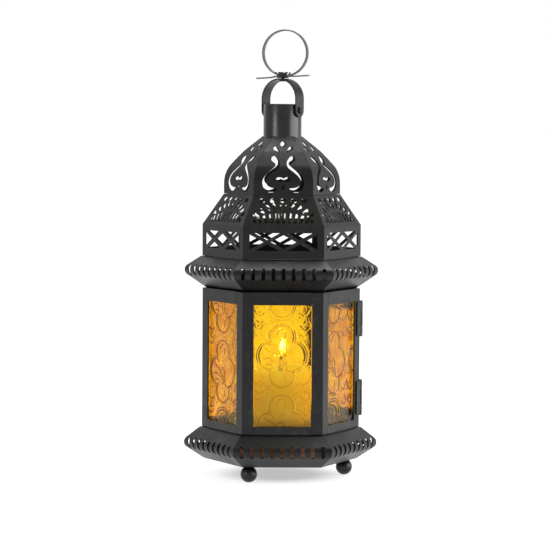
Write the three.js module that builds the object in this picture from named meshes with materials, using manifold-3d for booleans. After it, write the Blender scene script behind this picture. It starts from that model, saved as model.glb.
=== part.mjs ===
// Hexagonal Moroccan candle lantern in black painted sheet metal with amber pressed glass.
// Millimetres, +Z up. The axis of the lantern is the Z axis, its feet stand on z = 0, the front
// flat faces -Y, and two of the six corners lie on the X axis. "Radius" of a hexagonal piece is
// always measured across its corners; "apothem" is measured across its flats.

import * as THREE from 'three';
import { mergeGeometries, mergeVertices } from 'three/addons/utils/BufferGeometryUtils.js';
import Module from 'manifold-3d';

const wasm = await Module();
wasm.setup();

// ---------------------------------------------------------------- driving dimensions
const SIDES = 6;
const SIDE_TURN = (2 * Math.PI) / SIDES;
const FLAT = Math.cos(SIDE_TURN / 2); // apothem of a hexagon of radius 1

const SHEET = 0.9; // sheet metal thickness
const GAP = 0.3; // clearance between pieces that touch

const FOOT_RADIUS = 5.75;
const FOOT_TOP = 11.1;
const FOOT_CIRCLE = 44.9; // the three feet stand on this radius
const FOOT_FLAT = 2.8; // radius of the flat under the base plate
const SCREW_RADIUS = 1.6;
const SCREW_HEAD_RADIUS = 3.2;

const BASE_BOTTOM = 11.4; // underside of the base plate
const BODY_RADIUS = 55;
const BODY_BOTTOM = 34;
const BODY_TOP = 131.1;
const WINDOW_BOTTOM = 39.1;
const WINDOW_TOP = 122.7;
const WINDOW_WIDTH = 39.6;

const POST_WING = 7.5;
const DOOR_STUB = 1.8; // post wing left beside the door
const GLASS_THICKNESS = 2.2;
const GLASS_LAP = 1.5; // glass hidden behind each edge of its window
const BAND_WALL = 2.4; // thickness of a band where its sheet is doubled
const BAND_STEP = 1.9; // from the window's edge to the doubled part
const TAB_HALF = 7; // half width of the tabs that hold a pane
const TAB_SETBACK = 0.2; // the tabs stop short of the window
const TAB_CLEARANCE = 0.4; // between a tab's shelf and the pane's edge

const RIM_RADIUS = 68; // nose of both slotted rims
const RIM_NOSE_HALF = 1.8;
const RIM_WALL = 1.6; // the sheet measured level across a sloping rim wall
const RIM_LIP = 6; // width of the level lip at the top of a rim
const SLOTS_PER_SIDE = 9;
const SLOT_PITCH = 6.9;
const SLOT_WIDTH = 3;
const SLOT_HEIGHT = 6.7;

const LOWER_RIM = { bottomRadius: 53.1, nose: 24, topRadius: 56.4 };
const UPPER_RIM = { bottomRadius: 52, nose: 144, topRadius: 56.1 };
const UPPER_RIM_BOTTOM = BODY_TOP + GAP;
const UPPER_RIM_TOP = 153.6;

const SKIRT_RADIUS = 55.3;
const SKIRT_BOTTOM = 153.9;
const SHOULDER_BOTTOM = 175.9;
const SHOULDER_TOP = 196.9;
const SHOULDER_TOP_RADIUS = 40.6;

const DOME_BOTTOM = 197.2;
const DOME_TOP = 237.2;

const CHIMNEY_RADIUS = 13.25;
const CHIMNEY_BOTTOM = DOME_TOP + GAP;
const CHIMNEY_TOP = 259.5;
const CHIMNEY_WALL = 1;

const BAIL_TURN = THREE.MathUtils.degToRad(-35); // plane of the bail, from +X
const BAIL_WIDTH = 10;
const BAIL_RADIUS = 14; // middle of the strap
const BAIL_CROWN = 277.3;
const PIVOT_HEIGHT = 255.3;

const RING_RADIUS = 16.25;
const RING_TOP = 311.15;
const RING_WIDTH = 5;
const RING_BAR_LENGTH = 37.5;
const RING_OFFSET = 1.7; // the ring stands a little to the right of its foot
const RING_TURN = THREE.MathUtils.degToRad(-17); // plane of the ring, from +X
const RING_HOLE = 1.5; // radius of the swivel rivet's hole in the bail, the collar and the bar
const BAR_LOW = BAIL_CROWN + 1; // underside of the ring's bar

const CANDLE_RADIUS = 25;
const CANDLE_TOP = 75;
const CUP_HEIGHT = 5;
const CUP_MARGIN = 3; // between the candle and the outside of its cup
const WICK_RADIUS = 0.8;
const WICK_RISE = 9;
const WICK_DEPTH = 8.5;

// ---------------------------------------------------------------- materials
function paint(color, roughness, metalness) {
  return new THREE.MeshStandardMaterial({ color, roughness, metalness });
}

const BLACK_PAINT = () => paint(0x2d2d2f, 0.5, 0.55);
const SATIN_TUBE = () => paint(0x35363a, 0.35, 0.7);
const AMBER_GLASS = () => paint(0xe0a028, 0.15, 0);
const WAX = () => paint(0xf2e6c8, 0.6, 0);
const COTTON = () => paint(0x2a2320, 0.9, 0);

// ---------------------------------------------------------------- solids
function bare(geometry) {
  const plain = geometry.index ? geometry.toNonIndexed() : geometry.clone();
  plain.deleteAttribute('normal');
  plain.deleteAttribute('uv');
  return plain;
}

// One solid of one or more closed geometries that do not overlap each other.
function solid(...geometries) {
  const merged = mergeVertices(mergeGeometries(geometries.map(bare)), 1e-4);
  const index = merged.index.array;
  const kept = [];
  for (let i = 0; i < index.length; i += 3) {
    const [a, b, c] = index.slice(i, i + 3);
    if (a !== b && b !== c && c !== a) kept.push(a, b, c);
  }
  const vertProperties = merged.attributes.position.array;
  const triVerts = new Uint32Array(kept);
  return new wasm.Manifold(new wasm.Mesh({ numProp: 3, vertProperties, triVerts }));
}

function geometryOf(body) {
  const mesh = body.getMesh();
  const geometry = new THREE.BufferGeometry();
  const stride = mesh.numProp;
  const positions = new Float32Array((mesh.vertProperties.length / stride) * 3);
  for (let i = 0; i * stride < mesh.vertProperties.length; i += 1) {
    positions.set(mesh.vertProperties.slice(i * stride, i * stride + 3), i * 3);
  }
  geometry.setAttribute('position', new THREE.BufferAttribute(positions, 3));
  geometry.setIndex(Array.from(mesh.triVerts));
  const flat = geometry.toNonIndexed();
  flat.computeVertexNormals();
  return flat;
}

function join(...solids) {
  return solids.reduce((whole, next) => whole.add(next));
}

// ---------------------------------------------------------------- basic shapes
function polygon(points) {
  return new THREE.Shape(points.map(([x, y]) => new THREE.Vector2(x, y)));
}

function circle(radius, steps, x = 0, y = 0) {
  const points = [];
  for (let i = 0; i < steps; i += 1) {
    const turn = (2 * Math.PI * (i + 0.5)) / steps;
    points.push([x + radius * Math.cos(turn), y + radius * Math.sin(turn)]);
  }
  return polygon(points);
}

// A plate of the given outline in the XY plane, from z = low to z = high.
function plate(shape, low, high) {
  const geometry = new THREE.ExtrudeGeometry(shape, { depth: high - low, bevelEnabled: false });
  return geometry.translate(0, 0, low);
}

function block(low, high) {
  const size = high.map((value, i) => value - low[i]);
  const middle = high.map((value, i) => (value + low[i]) / 2);
  return new THREE.BoxGeometry(...size).translate(...middle);
}

// A turned piece about the Z axis: profile points are [radius, height].
function turned(profile, steps, start = 0) {
  const points = profile.map(([radius, height]) => new THREE.Vector2(radius, height));
  return new THREE.LatheGeometry(points, steps, start).rotateX(Math.PI / 2);
}

function rod(radius, low, high, steps) {
  return turned([[0, low], [radius, low], [radius, high], [0, high]], steps);
}

// A six-sided ring with corners on the X axis; the profile is closed and anticlockwise.
function hexagonal(profile) {
  return turned([...profile, profile[0]], SIDES, SIDE_TURN / 2);
}

// Moves a geometry drawn in the plane of a panel (X along it, Y up, Z outward) to side k,
// where side 0 is the front and the others follow anticlockwise seen from above.
function onSide(geometry, k = 0) {
  return geometry.clone().rotateX(Math.PI / 2).rotateZ(k * SIDE_TURN);
}

function onEverySide(geometry) {
  return Array.from({ length: SIDES }, (_, k) => onSide(geometry, k));
}

// ---------------------------------------------------------------- scene graph
const lantern = new THREE.Group();

function addGroup(parent, position = [0, 0, 0], turn = 0) {
  const group = new THREE.Group();
  group.position.set(...position);
  group.rotation.z = turn;
  parent.add(group);
  return group;
}

function addPiece(parent, name, body, material, turn = 0) {
  const mesh = new THREE.Mesh(geometryOf(body), material);
  mesh.name = name;
  mesh.rotation.z = turn;
  parent.add(mesh);
}

const SIDE_NAMES = ['front', 'front_right', 'rear_right', 'rear', 'rear_left', 'front_left'];
const DOOR_SIDE = 2;

// ---------------------------------------------------------------- slotted rims
// Each rim is one strip folded round a blunt nose, with slots cut across the fold.
function slottedRim({ bottomRadius, nose, topRadius }, bottom, top) {
  const outer = [
    [bottomRadius, bottom],
    [RIM_RADIUS, nose - RIM_NOSE_HALF],
    [RIM_RADIUS, nose + RIM_NOSE_HALF],
    [topRadius, top],
  ];
  const lip = topRadius - RIM_LIP;
  const inner = [
    [lip, top],
    [lip, top - SHEET],
    [topRadius - RIM_WALL, top - SHEET],
    [RIM_RADIUS - RIM_WALL, nose + RIM_NOSE_HALF / 2],
    [RIM_RADIUS - RIM_WALL, nose - RIM_NOSE_HALF / 2],
    [bottomRadius - RIM_WALL, bottom],
  ];
  const apothem = RIM_RADIUS * FLAT;
  const slotDepth = 6.5;
  const slots = [];
  for (let i = 0; i < SLOTS_PER_SIDE; i += 1) {
    const x = (i - (SLOTS_PER_SIDE - 1) / 2) * SLOT_PITCH;
    const low = [x - SLOT_WIDTH / 2, nose - SLOT_HEIGHT / 2, apothem - slotDepth];
    const high = [x + SLOT_WIDTH / 2, nose + SLOT_HEIGHT / 2, apothem + 1];
    slots.push(...onEverySide(block(low, high)));
  }
  return solid(hexagonal([...outer, ...inner])).subtract(solid(...slots));
}

// ---------------------------------------------------------------- base
function buildBase() {
  const base = addGroup(lantern);
  const plateRadius = LOWER_RIM.bottomRadius - RIM_WALL - GAP / FLAT;
  const plateOutline = hexagonal([
    [0, BASE_BOTTOM],
    [plateRadius, BASE_BOTTOM],
    [plateRadius, BASE_BOTTOM + SHEET],
    [0, BASE_BOTTOM + SHEET],
  ]);
  const footTurns = { left: -2 * SIDE_TURN, right: 0, rear: 2 * SIDE_TURN };
  const holes = Object.values(footTurns).map((turn) =>
    rod(SCREW_RADIUS + GAP, BASE_BOTTOM - 1, BASE_BOTTOM + 2, 10)
      .translate(FOOT_CIRCLE, 0, 0)
      .rotateZ(turn),
  );
  addPiece(base, 'base_plate', solid(plateOutline).subtract(solid(...holes)), BLACK_PAINT());

  const rim = slottedRim(LOWER_RIM, BASE_BOTTOM, BODY_BOTTOM - GAP);
  addPiece(base, 'lower_rim', rim, BLACK_PAINT());

  // A ball foot: flattened where it stands and where it meets the base plate, drilled for
  // the screw that holds it.
  const middle = FOOT_RADIUS - 0.15;
  const screwTip = 4.5;
  const headSeat = BASE_BOTTOM + SHEET + GAP;
  const rings = 8;
  const ball = [[0, 0]];
  for (let i = 1; i < rings; i += 1) {
    const polar = -Math.PI / 2 + (Math.PI * (i + 0.35)) / (rings + 0.7);
    ball.push([FOOT_RADIUS * Math.cos(polar), middle + FOOT_RADIUS * Math.sin(polar)]);
  }
  ball[1][1] = 0;
  ball.push([FOOT_FLAT, FOOT_TOP], [0, FOOT_TOP]);
  const bore = rod(SCREW_RADIUS + GAP, screwTip - 0.5, FOOT_TOP + 1, 10);
  const foot = solid(turned(ball, 14)).subtract(solid(bore));
  const screw = solid(turned([
    [0, screwTip],
    [SCREW_RADIUS, screwTip],
    [SCREW_RADIUS, headSeat],
    [SCREW_HEAD_RADIUS, headSeat],
    [SCREW_HEAD_RADIUS * 0.75, headSeat + 1.4],
    [0, headSeat + 1.8],
  ], 10));
  for (const [name, turn] of Object.entries(footTurns)) {
    const leg = addGroup(base, [0, 0, 0], turn);
    const spot = addGroup(leg, [FOOT_CIRCLE, 0, 0]);
    addPiece(spot, `ball_foot_${name}`, foot, BLACK_PAINT());
    addPiece(spot, `foot_screw_${name}`, screw, BLACK_PAINT());
  }
}

// ---------------------------------------------------------------- lantern body
const BODY_APOTHEM = BODY_RADIUS * FLAT;
const GLASS_FACE = BODY_APOTHEM - SHEET - GAP;
const GLASS_BACK = GLASS_FACE - GLASS_THICKNESS;

// Plan of a corner post: a V of two wings; the first wing lies clockwise of the corner.
function postPlan(wings, grow = 0) {
  const along = (side, distance) => [
    -distance * Math.sin(SIDE_TURN / 2),
    side * distance * Math.cos(SIDE_TURN / 2),
  ];
  const corner = (depth) => [BODY_RADIUS - depth / FLAT, 0];
  const tip = (side, length, depth) => {
    const [x, y] = along(side, length);
    return [BODY_RADIUS + x - depth * FLAT, y - (side * depth) / 2];
  };
  const [first, second] = wings.map((length) => length + grow);
  const outside = -4 * grow; // a grown plan cuts right through the outer face
  return polygon([
    corner(outside),
    tip(1, second, outside),
    tip(1, second, SHEET + grow),
    corner(SHEET + grow),
    tip(-1, first, SHEET + grow),
    tip(-1, first, outside),
  ]);
}

function postWings(corner) {
  if (corner === 0) return [POST_WING, DOOR_STUB];
  if (corner === 1) return [DOOR_STUB, POST_WING];
  return [POST_WING, POST_WING];
}

// A folded tab that holds one edge of a pane: a shelf standing in from the sheet and a lip that
// laps the back of the glass.
function retainingTab(windowEdge, isTop, shelfFace) {
  const back = GLASS_BACK - GAP;
  const reach = GLASS_LAP + TAB_CLEARANCE;
  const shelf = isTop ? windowEdge + reach : windowEdge - reach - SHEET;
  const lipLow = isTop ? windowEdge + TAB_SETBACK : shelf;
  const lipHigh = isTop ? shelf + SHEET : windowEdge - TAB_SETBACK;
  return [
    block([-TAB_HALF, shelf, back - SHEET], [TAB_HALF, shelf + SHEET, shelfFace]),
    block([-TAB_HALF, lipLow, back - SHEET], [TAB_HALF, lipHigh, back]),
  ];
}

// A horizontal band of the body: thin beside the glass, doubled where it meets the rim,
// with a seat for each corner post and a folded tab behind each fixed pane.
function band(low, high, windowEdge, isTop) {
  const step = isTop ? windowEdge + BAND_STEP : windowEdge - BAND_STEP;
  const thin = BODY_RADIUS - SHEET / FLAT;
  const thick = BODY_RADIUS - BAND_WALL / FLAT;
  const profile = isTop
    ? [[BODY_RADIUS, low], [BODY_RADIUS, high], [thick, high], [thick, step], [thin, step], [thin, low]]
    : [[BODY_RADIUS, low], [BODY_RADIUS, high], [thin, high], [thin, step], [thick, step], [thick, low]];
  const seats = Array.from({ length: SIDES }, (_, k) =>
    plate(postPlan(postWings(k), GAP), low - 1, high + 1).rotateZ(k * SIDE_TURN),
  );
  const tab = retainingTab(windowEdge, isTop, BODY_APOTHEM - BAND_WALL + TAB_CLEARANCE);
  let body = solid(hexagonal(profile)).subtract(solid(...seats));
  for (let k = 0; k < SIDES; k += 1) {
    if (k !== DOOR_SIDE) body = join(body, ...tab.map((piece) => solid(onSide(piece, k))));
  }
  return body;
}

function pane(low, high) {
  const half = WINDOW_WIDTH / 2 + GLASS_LAP;
  return solid(onSide(block(
    [-half, low - GLASS_LAP, GLASS_BACK],
    [half, high + GLASS_LAP, GLASS_FACE],
  )));
}

function buildBody() {
  const body = addGroup(lantern);
  const bottomBand = band(BODY_BOTTOM, WINDOW_BOTTOM, WINDOW_BOTTOM, false);
  const topBand = band(WINDOW_TOP, BODY_TOP, WINDOW_TOP, true);
  addPiece(body, 'bottom_band', bottomBand, BLACK_PAINT());
  addPiece(body, 'top_band', topBand, BLACK_PAINT());

  const cornerNames = ['right', 'rear_right', 'rear_left', 'left', 'front_left', 'front_right'];
  cornerNames.forEach((name, corner) => {
    const post = solid(plate(postPlan(postWings(corner)), BODY_BOTTOM, BODY_TOP));
    addPiece(body, `corner_post_${name}`, post, BLACK_PAINT(), corner * SIDE_TURN);
  });

  SIDE_NAMES.forEach((name, k) => {
    if (k !== DOOR_SIDE) {
      const glass = pane(WINDOW_BOTTOM, WINDOW_TOP);
      addPiece(body, `glass_${name}`, glass, AMBER_GLASS(), k * SIDE_TURN);
    }
  });
}

// ---------------------------------------------------------------- door, hinges and latch
const DOOR_CLEARANCE = 0.4;
const DOOR_BOTTOM = WINDOW_BOTTOM + DOOR_CLEARANCE;
const DOOR_TOP = WINDOW_TOP - DOOR_CLEARANCE;
const DOOR_HALF = BODY_RADIUS / 2 - DOOR_STUB - DOOR_CLEARANCE;
const DOOR_RAIL = 6.5;
const HINGE_BARREL = 1.35;
const HINGE_PIN = 0.55;
const HINGE_OUT = 1.5; // hinge axis in front of the door face
const HINGE_ALONG = -BODY_RADIUS / 2 + 0.69;
const HINGE_LENGTH = 23.4;
const HINGE_BOTTOMS = { lower: 42.8, upper: 98.3 };
const KNUCKLES = [[0, 5.7], [6, 17.2], [17.5, 23.4]];
const LEAF = 0.7; // thickness of a hinge leaf
const LEAF_WIDTH = 5;
const PIN_HEAD = 0.6;
const LATCH_ALONG = DOOR_HALF - 1.8;
const LATCH_HEIGHT = 82;
const LATCH_STEM = 0.9;

function axial(geometry) {
  return geometry.translate(HINGE_ALONG, -(BODY_APOTHEM + HINGE_OUT), 0);
}

// Leaf of a hinge in the frame of the door panel: knuckle tubes about the hinge axis and a
// flat leaf on the door, or on the neighbouring face for the fixed half.
function hingeHalf(base, knuckles, isFixed) {
  const tubes = knuckles.map(([low, high]) => axial(rod(HINGE_BARREL, base + low, base + high, 12)));
  const bore = solid(axial(rod(HINGE_PIN + GAP, base - 1, base + HINGE_LENGTH + 1, 12)));
  const inner = BODY_APOTHEM + GAP;
  const placed = (low, high) => {
    const piece = onSide(block(low, high));
    return isFixed ? solid(piece.rotateZ(-SIDE_TURN)) : solid(piece);
  };
  // On the door the leaf runs to +X from its corner; on the neighbouring face it runs to -X.
  const span = (near, far) => (isFixed
    ? [BODY_RADIUS / 2 - far, BODY_RADIUS / 2 - near]
    : [-BODY_RADIUS / 2 + near, -BODY_RADIUS / 2 + far]);
  const clear = isFixed ? 0.1 : 2.4; // from the corner to the flat leaf
  const reach = isFixed ? -HINGE_BARREL - 0.1 : 0.9;
  const [left, right] = span(clear, clear + LEAF_WIDTH);
  let leaf = placed([left, base, inner], [right, base + HINGE_LENGTH, inner + LEAF]);
  for (const [low, high] of knuckles) {
    const [from, to] = span(reach, clear + 0.5);
    leaf = leaf.add(placed([from, base + low, inner], [to, base + high, inner + LEAF]));
  }
  return join(leaf, ...tubes.map((tube) => solid(tube))).subtract(bore);
}

function buildDoor() {
  const door = addGroup(lantern, [0, 0, 0], DOOR_SIDE * SIDE_TURN);

  const outline = polygon([
    [-DOOR_HALF, DOOR_BOTTOM],
    [DOOR_HALF, DOOR_BOTTOM],
    [DOOR_HALF, DOOR_TOP],
    [-DOOR_HALF, DOOR_TOP],
  ]);
  const windowLow = DOOR_BOTTOM + DOOR_RAIL;
  const windowHigh = DOOR_TOP - DOOR_RAIL;
  outline.holes.push(polygon([
    [-WINDOW_WIDTH / 2, windowLow],
    [-WINDOW_WIDTH / 2, windowHigh],
    [WINDOW_WIDTH / 2, windowHigh],
    [WINDOW_WIDTH / 2, windowLow],
  ]));
  outline.holes.push(circle(LATCH_STEM + GAP, 10, LATCH_ALONG, LATCH_HEIGHT));
  const faces = plate(outline, BODY_APOTHEM - SHEET, BODY_APOTHEM);
  let frame = solid(onSide(faces));
  for (const isTop of [false, true]) {
    const tab = retainingTab(isTop ? windowHigh : windowLow, isTop, BODY_APOTHEM - SHEET / 2);
    frame = join(frame, ...tab.map((piece) => solid(onSide(piece))));
  }
  addPiece(door, 'door_frame', frame, BLACK_PAINT());
  addPiece(door, 'door_glass', pane(windowLow, windowHigh), AMBER_GLASS());

  for (const [name, base] of Object.entries(HINGE_BOTTOMS)) {
    const [first, second, third] = KNUCKLES;
    addPiece(door, `hinge_fixed_leaf_${name}`, hingeHalf(base, [first, third], true), BLACK_PAINT());
    addPiece(door, `hinge_door_leaf_${name}`, hingeHalf(base, [second], false), BLACK_PAINT());
    const low = base - GAP;
    const high = base + HINGE_LENGTH + GAP;
    const pin = turned([
      [0, low - PIN_HEAD],
      [HINGE_BARREL, low - PIN_HEAD],
      [HINGE_BARREL, low],
      [HINGE_PIN, low],
      [HINGE_PIN, high],
      [HINGE_BARREL, high],
      [HINGE_BARREL, high + PIN_HEAD],
      [0, high + PIN_HEAD],
    ], 10);
    addPiece(door, `hinge_pin_${name}`, solid(axial(pin)), BLACK_PAINT());
  }

  // The knob's stem passes through the latch stile. Its tongue stands upright here, released;
  // a quarter turn takes it behind the corner post.
  const knob = turned([
    [0, BODY_APOTHEM - SHEET - 1.5],
    [LATCH_STEM, BODY_APOTHEM - SHEET - 1.5],
    [LATCH_STEM, BODY_APOTHEM + GAP],
    [1.6, BODY_APOTHEM + GAP],
    [1.6, BODY_APOTHEM + 2],
    [2.9, BODY_APOTHEM + 3.2],
    [2.9, BODY_APOTHEM + 5.4],
    [1.8, BODY_APOTHEM + 6.7],
    [0, BODY_APOTHEM + 7],
  ], 12).translate(LATCH_ALONG, LATCH_HEIGHT, 0);
  addPiece(door, 'latch_knob', solid(onSide(knob)), BLACK_PAINT());

  const tongueFace = BODY_APOTHEM - SHEET - GAP;
  const tongueHalf = 1.4;
  const tongueReach = 3.2;
  const tongue = polygon([
    [LATCH_ALONG - tongueHalf, LATCH_HEIGHT - tongueHalf],
    [LATCH_ALONG + tongueHalf, LATCH_HEIGHT - tongueHalf],
    [LATCH_ALONG + tongueHalf, LATCH_HEIGHT + tongueReach],
    [LATCH_ALONG - tongueHalf, LATCH_HEIGHT + tongueReach],
  ]);
  tongue.holes.push(circle(LATCH_STEM + GAP, 10, LATCH_ALONG, LATCH_HEIGHT));
  const tonguePlate = onSide(plate(tongue, tongueFace - SHEET, tongueFace));
  addPiece(door, 'latch_tongue', solid(tonguePlate), BLACK_PAINT());
}

// ---------------------------------------------------------------- pierced crown
const LATTICE = { low: 159.4, high: 171.6, half: 23.2, pitch: 22.4, bar: 2.4 };

// Openings of one side of the lattice: two crossed pairs of bars leave triangles above and
// below each crossing, a diamond between them and half a diamond at each end.
function latticeOpenings() {
  const { low, high, half, pitch, bar } = LATTICE;
  const middle = (low + high) / 2;
  const slope = Math.atan2(high - low, pitch);
  const upright = bar / 2 / Math.cos(slope);
  const level = bar / 2 / Math.sin(slope);
  const openings = [];
  for (const x of [-pitch / 2, pitch / 2]) {
    const reach = pitch / 2 - level;
    openings.push(polygon([[x, middle + upright], [x + reach, high], [x - reach, high]]));
    openings.push(polygon([[x, middle - upright], [x - reach, low], [x + reach, low]]));
  }
  openings.push(polygon([
    [-pitch / 2 + level, middle],
    [0, low + upright],
    [pitch / 2 - level, middle],
    [0, high - upright],
  ]));
  for (const side of [-1, 1]) {
    const tip = [side * (pitch / 2 + level), middle];
    const reach = (half - Math.abs(tip[0])) * Math.tan(slope);
    const ends = [[side * half, middle - side * reach], [side * half, middle + side * reach]];
    openings.push(polygon([tip, ...ends]));
  }
  return openings;
}

// A slot that follows a smooth curve through the points, as wide at each step as the widths say.
function curvedSlot(points, widths) {
  const curve = new THREE.SplineCurve(points.map(([x, y]) => new THREE.Vector2(x, y)));
  const steps = widths.length - 1;
  const left = [];
  const right = [];
  for (let i = 0; i <= steps; i += 1) {
    const place = curve.getPoint(i / steps);
    const along = curve.getTangent(i / steps);
    const half = widths[i] / 2;
    left.push([place.x - along.y * half, place.y + along.x * half]);
    right.push([place.x + along.y * half, place.y - along.x * half]);
  }
  return [...left, ...right.reverse()];
}

function mirrored(points) {
  return points.map(([x, y]) => [-x, y]).reverse();
}

// Openings of one dome gore seen square on: X from its centre line, Y is the height.
function goreOpenings() {
  const scroll = curvedSlot(
    [[-5.2, 221.4], [-3.2, 217.5], [-6.6, 213], [-12, 208.4], [-12.4, 202.8], [-8.6, 200.2], [-4, 201.5]],
    [3.2, 2.2, 1.7, 1.6, 2, 2.9, 0.9],
  );
  const leaf = [[-6.9, 229.9], [-5.5, 227.2], [-2.8, 226.7], [-3.9, 228.9]];
  const moustache = [[-5.2, 208.1], [-2.4, 206.8], [2.4, 206.8], [5.2, 208.1], [2.4, 209.4], [-2.4, 209.4]];
  const top = [[0, 229.9], [2.1, 232], [0, 234], [-2.1, 232]];
  const drop = [[0, 200.4], [1.1, 202], [0, 203.8], [-1.1, 202]];
  return [scroll, mirrored(scroll), leaf, mirrored(leaf), moustache, top, drop].map(polygon);
}

// A leaf from a sharp tip to a blunt end of the given width.
function leafOpening([tipX, tipY], [endX, endY], width) {
  const length = Math.hypot(endX - tipX, endY - tipY);
  const [alongX, alongY] = [(endX - tipX) / length, (endY - tipY) / length];
  const half = width / 2;
  return [
    [tipX, tipY],
    [endX + alongY * half, endY - alongX * half],
    [endX + alongX * half, endY + alongY * half],
    [endX - alongY * half, endY + alongX * half],
  ];
}

// Openings of one shoulder panel: a row of round holes over a fan of leaves, and a row of
// upright slots along the foot of the fan.
function shoulderOpenings() {
  const openings = [[[-2.4, 190.2], [0, 186.2], [2.4, 190.2]]];
  const leaves = [
    [[3, 186.4], [6, 190], 2.3],
    [[6.9, 185.4], [10.7, 189.1], 2.5],
    [[10.9, 184.2], [14.9, 187], 2.4],
    [[14.6, 182.9], [19.4, 184.6], 2.3],
  ];
  for (const [tip, end, width] of leaves) {
    const leaf = leafOpening(tip, end, width);
    openings.push(leaf, mirrored(leaf));
  }
  const slotFoot = 179;
  const slotPitch = 3.75;
  for (let i = -4; i <= 4; i += 1) {
    const x = slotPitch * i;
    const lean = 0.22 * i;
    const top = 185 - 0.17 * i * i;
    openings.push([
      [x - 0.75, slotFoot],
      [x + 0.75, slotFoot],
      [x + lean + 1.1, top],
      [x + lean - 1.1, top],
    ]);
  }
  const holes = [-2, -1, 0, 1, 2].map((i) => circle(1.8, 6, i * 7.2, 193.2));
  const dots = [-5, 5].map((i) => circle(1.2, 6, i * slotPitch, 180.1));
  return [...openings.map(polygon), ...holes, ...dots];
}

function cuttersThrough(shapes, near, far) {
  return shapes.map((shape) => plate(shape, near, far));
}

function buildCrown() {
  const crown = addGroup(lantern);

  const upperRim = slottedRim(UPPER_RIM, UPPER_RIM_BOTTOM, UPPER_RIM_TOP);
  addPiece(crown, 'upper_rim', upperRim, BLACK_PAINT());

  const skirtTop = SHOULDER_BOTTOM - GAP;
  const wall = SHEET / FLAT;
  let skirt = solid(hexagonal([
    [SKIRT_RADIUS, SKIRT_BOTTOM],
    [SKIRT_RADIUS, skirtTop],
    [SKIRT_RADIUS - wall, skirtTop],
    [SKIRT_RADIUS - wall, SKIRT_BOTTOM],
  ]));
  for (const cutter of cuttersThrough(latticeOpenings(), 40, 60)) {
    skirt = skirt.subtract(solid(...onEverySide(cutter)));
  }
  addPiece(crown, 'lattice_skirt', skirt, BLACK_PAINT());

  const slopingWall = 1.25; // the sheet measured level across the sloping shoulder
  let shoulder = solid(hexagonal([
    [SKIRT_RADIUS, SHOULDER_BOTTOM],
    [SHOULDER_TOP_RADIUS, SHOULDER_TOP],
    [SHOULDER_TOP_RADIUS - slopingWall, SHOULDER_TOP],
    [SKIRT_RADIUS - slopingWall, SHOULDER_BOTTOM],
  ]));
  for (const cutter of cuttersThrough(shoulderOpenings(), 28, 60)) {
    shoulder = shoulder.subtract(solid(...onEverySide(cutter)));
  }
  addPiece(crown, 'pierced_shoulder', shoulder, BLACK_PAINT());

  const gore = buildGore();
  SIDE_NAMES.forEach((name, k) => {
    addPiece(crown, `dome_gore_${name}`, gore, BLACK_PAINT(), k * SIDE_TURN);
  });
}

// The dome's section through a corner: upright at the foot, an arc over the haunch and a
// straight run up to the chimney.
function domeSection(inset) {
  const haunch = { radius: 15, centreRadius: 25.6, height: 204.5 };
  const points = [[SHOULDER_TOP_RADIUS - inset, DOME_BOTTOM]];
  const steps = 4;
  for (let i = 0; i <= steps; i += 1) {
    const turn = THREE.MathUtils.degToRad((i / steps) * 46);
    points.push([
      haunch.centreRadius + (haunch.radius - inset) * Math.cos(turn),
      haunch.height + (haunch.radius - inset) * 1.18 * Math.sin(turn),
    ]);
  }
  points.push([26.9 - inset * 0.8, 226.8 - inset * 0.7]);
  points.push([13.8 - inset * 0.5, DOME_TOP - inset * 0.2]);
  return points;
}

function buildGore() {
  const outer = domeSection(0);
  const inner = domeSection(SHEET / FLAT).reverse();
  inner[inner.length - 1][1] = DOME_BOTTOM;
  const section = [...outer, ...inner].map(([radius, height]) => [radius * FLAT, height]);
  const halfWidth = 24; // wider than any gore, before the wedge trims it
  // Drawn as a section standing in the plane X = 0, then turned to face the front.
  const strip = plate(polygon(section), -halfWidth, halfWidth)
    .rotateX(Math.PI / 2)
    .rotateZ(-Math.PI / 2);
  const apex = -GAP;
  const far = 60;
  const spread = (far + apex) * Math.tan(SIDE_TURN / 2);
  const wedge = plate(polygon([[0, apex], [-spread, -far], [spread, -far]]), DOME_BOTTOM - 5, DOME_TOP + 5);
  let gore = solid(strip).intersect(solid(wedge));
  for (const cutter of cuttersThrough(goreOpenings(), 5, 60)) {
    gore = gore.subtract(solid(onSide(cutter)));
  }
  return gore;
}

// ---------------------------------------------------------------- chimney and bail
const RIVET_SHANK = 1.3;

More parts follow.
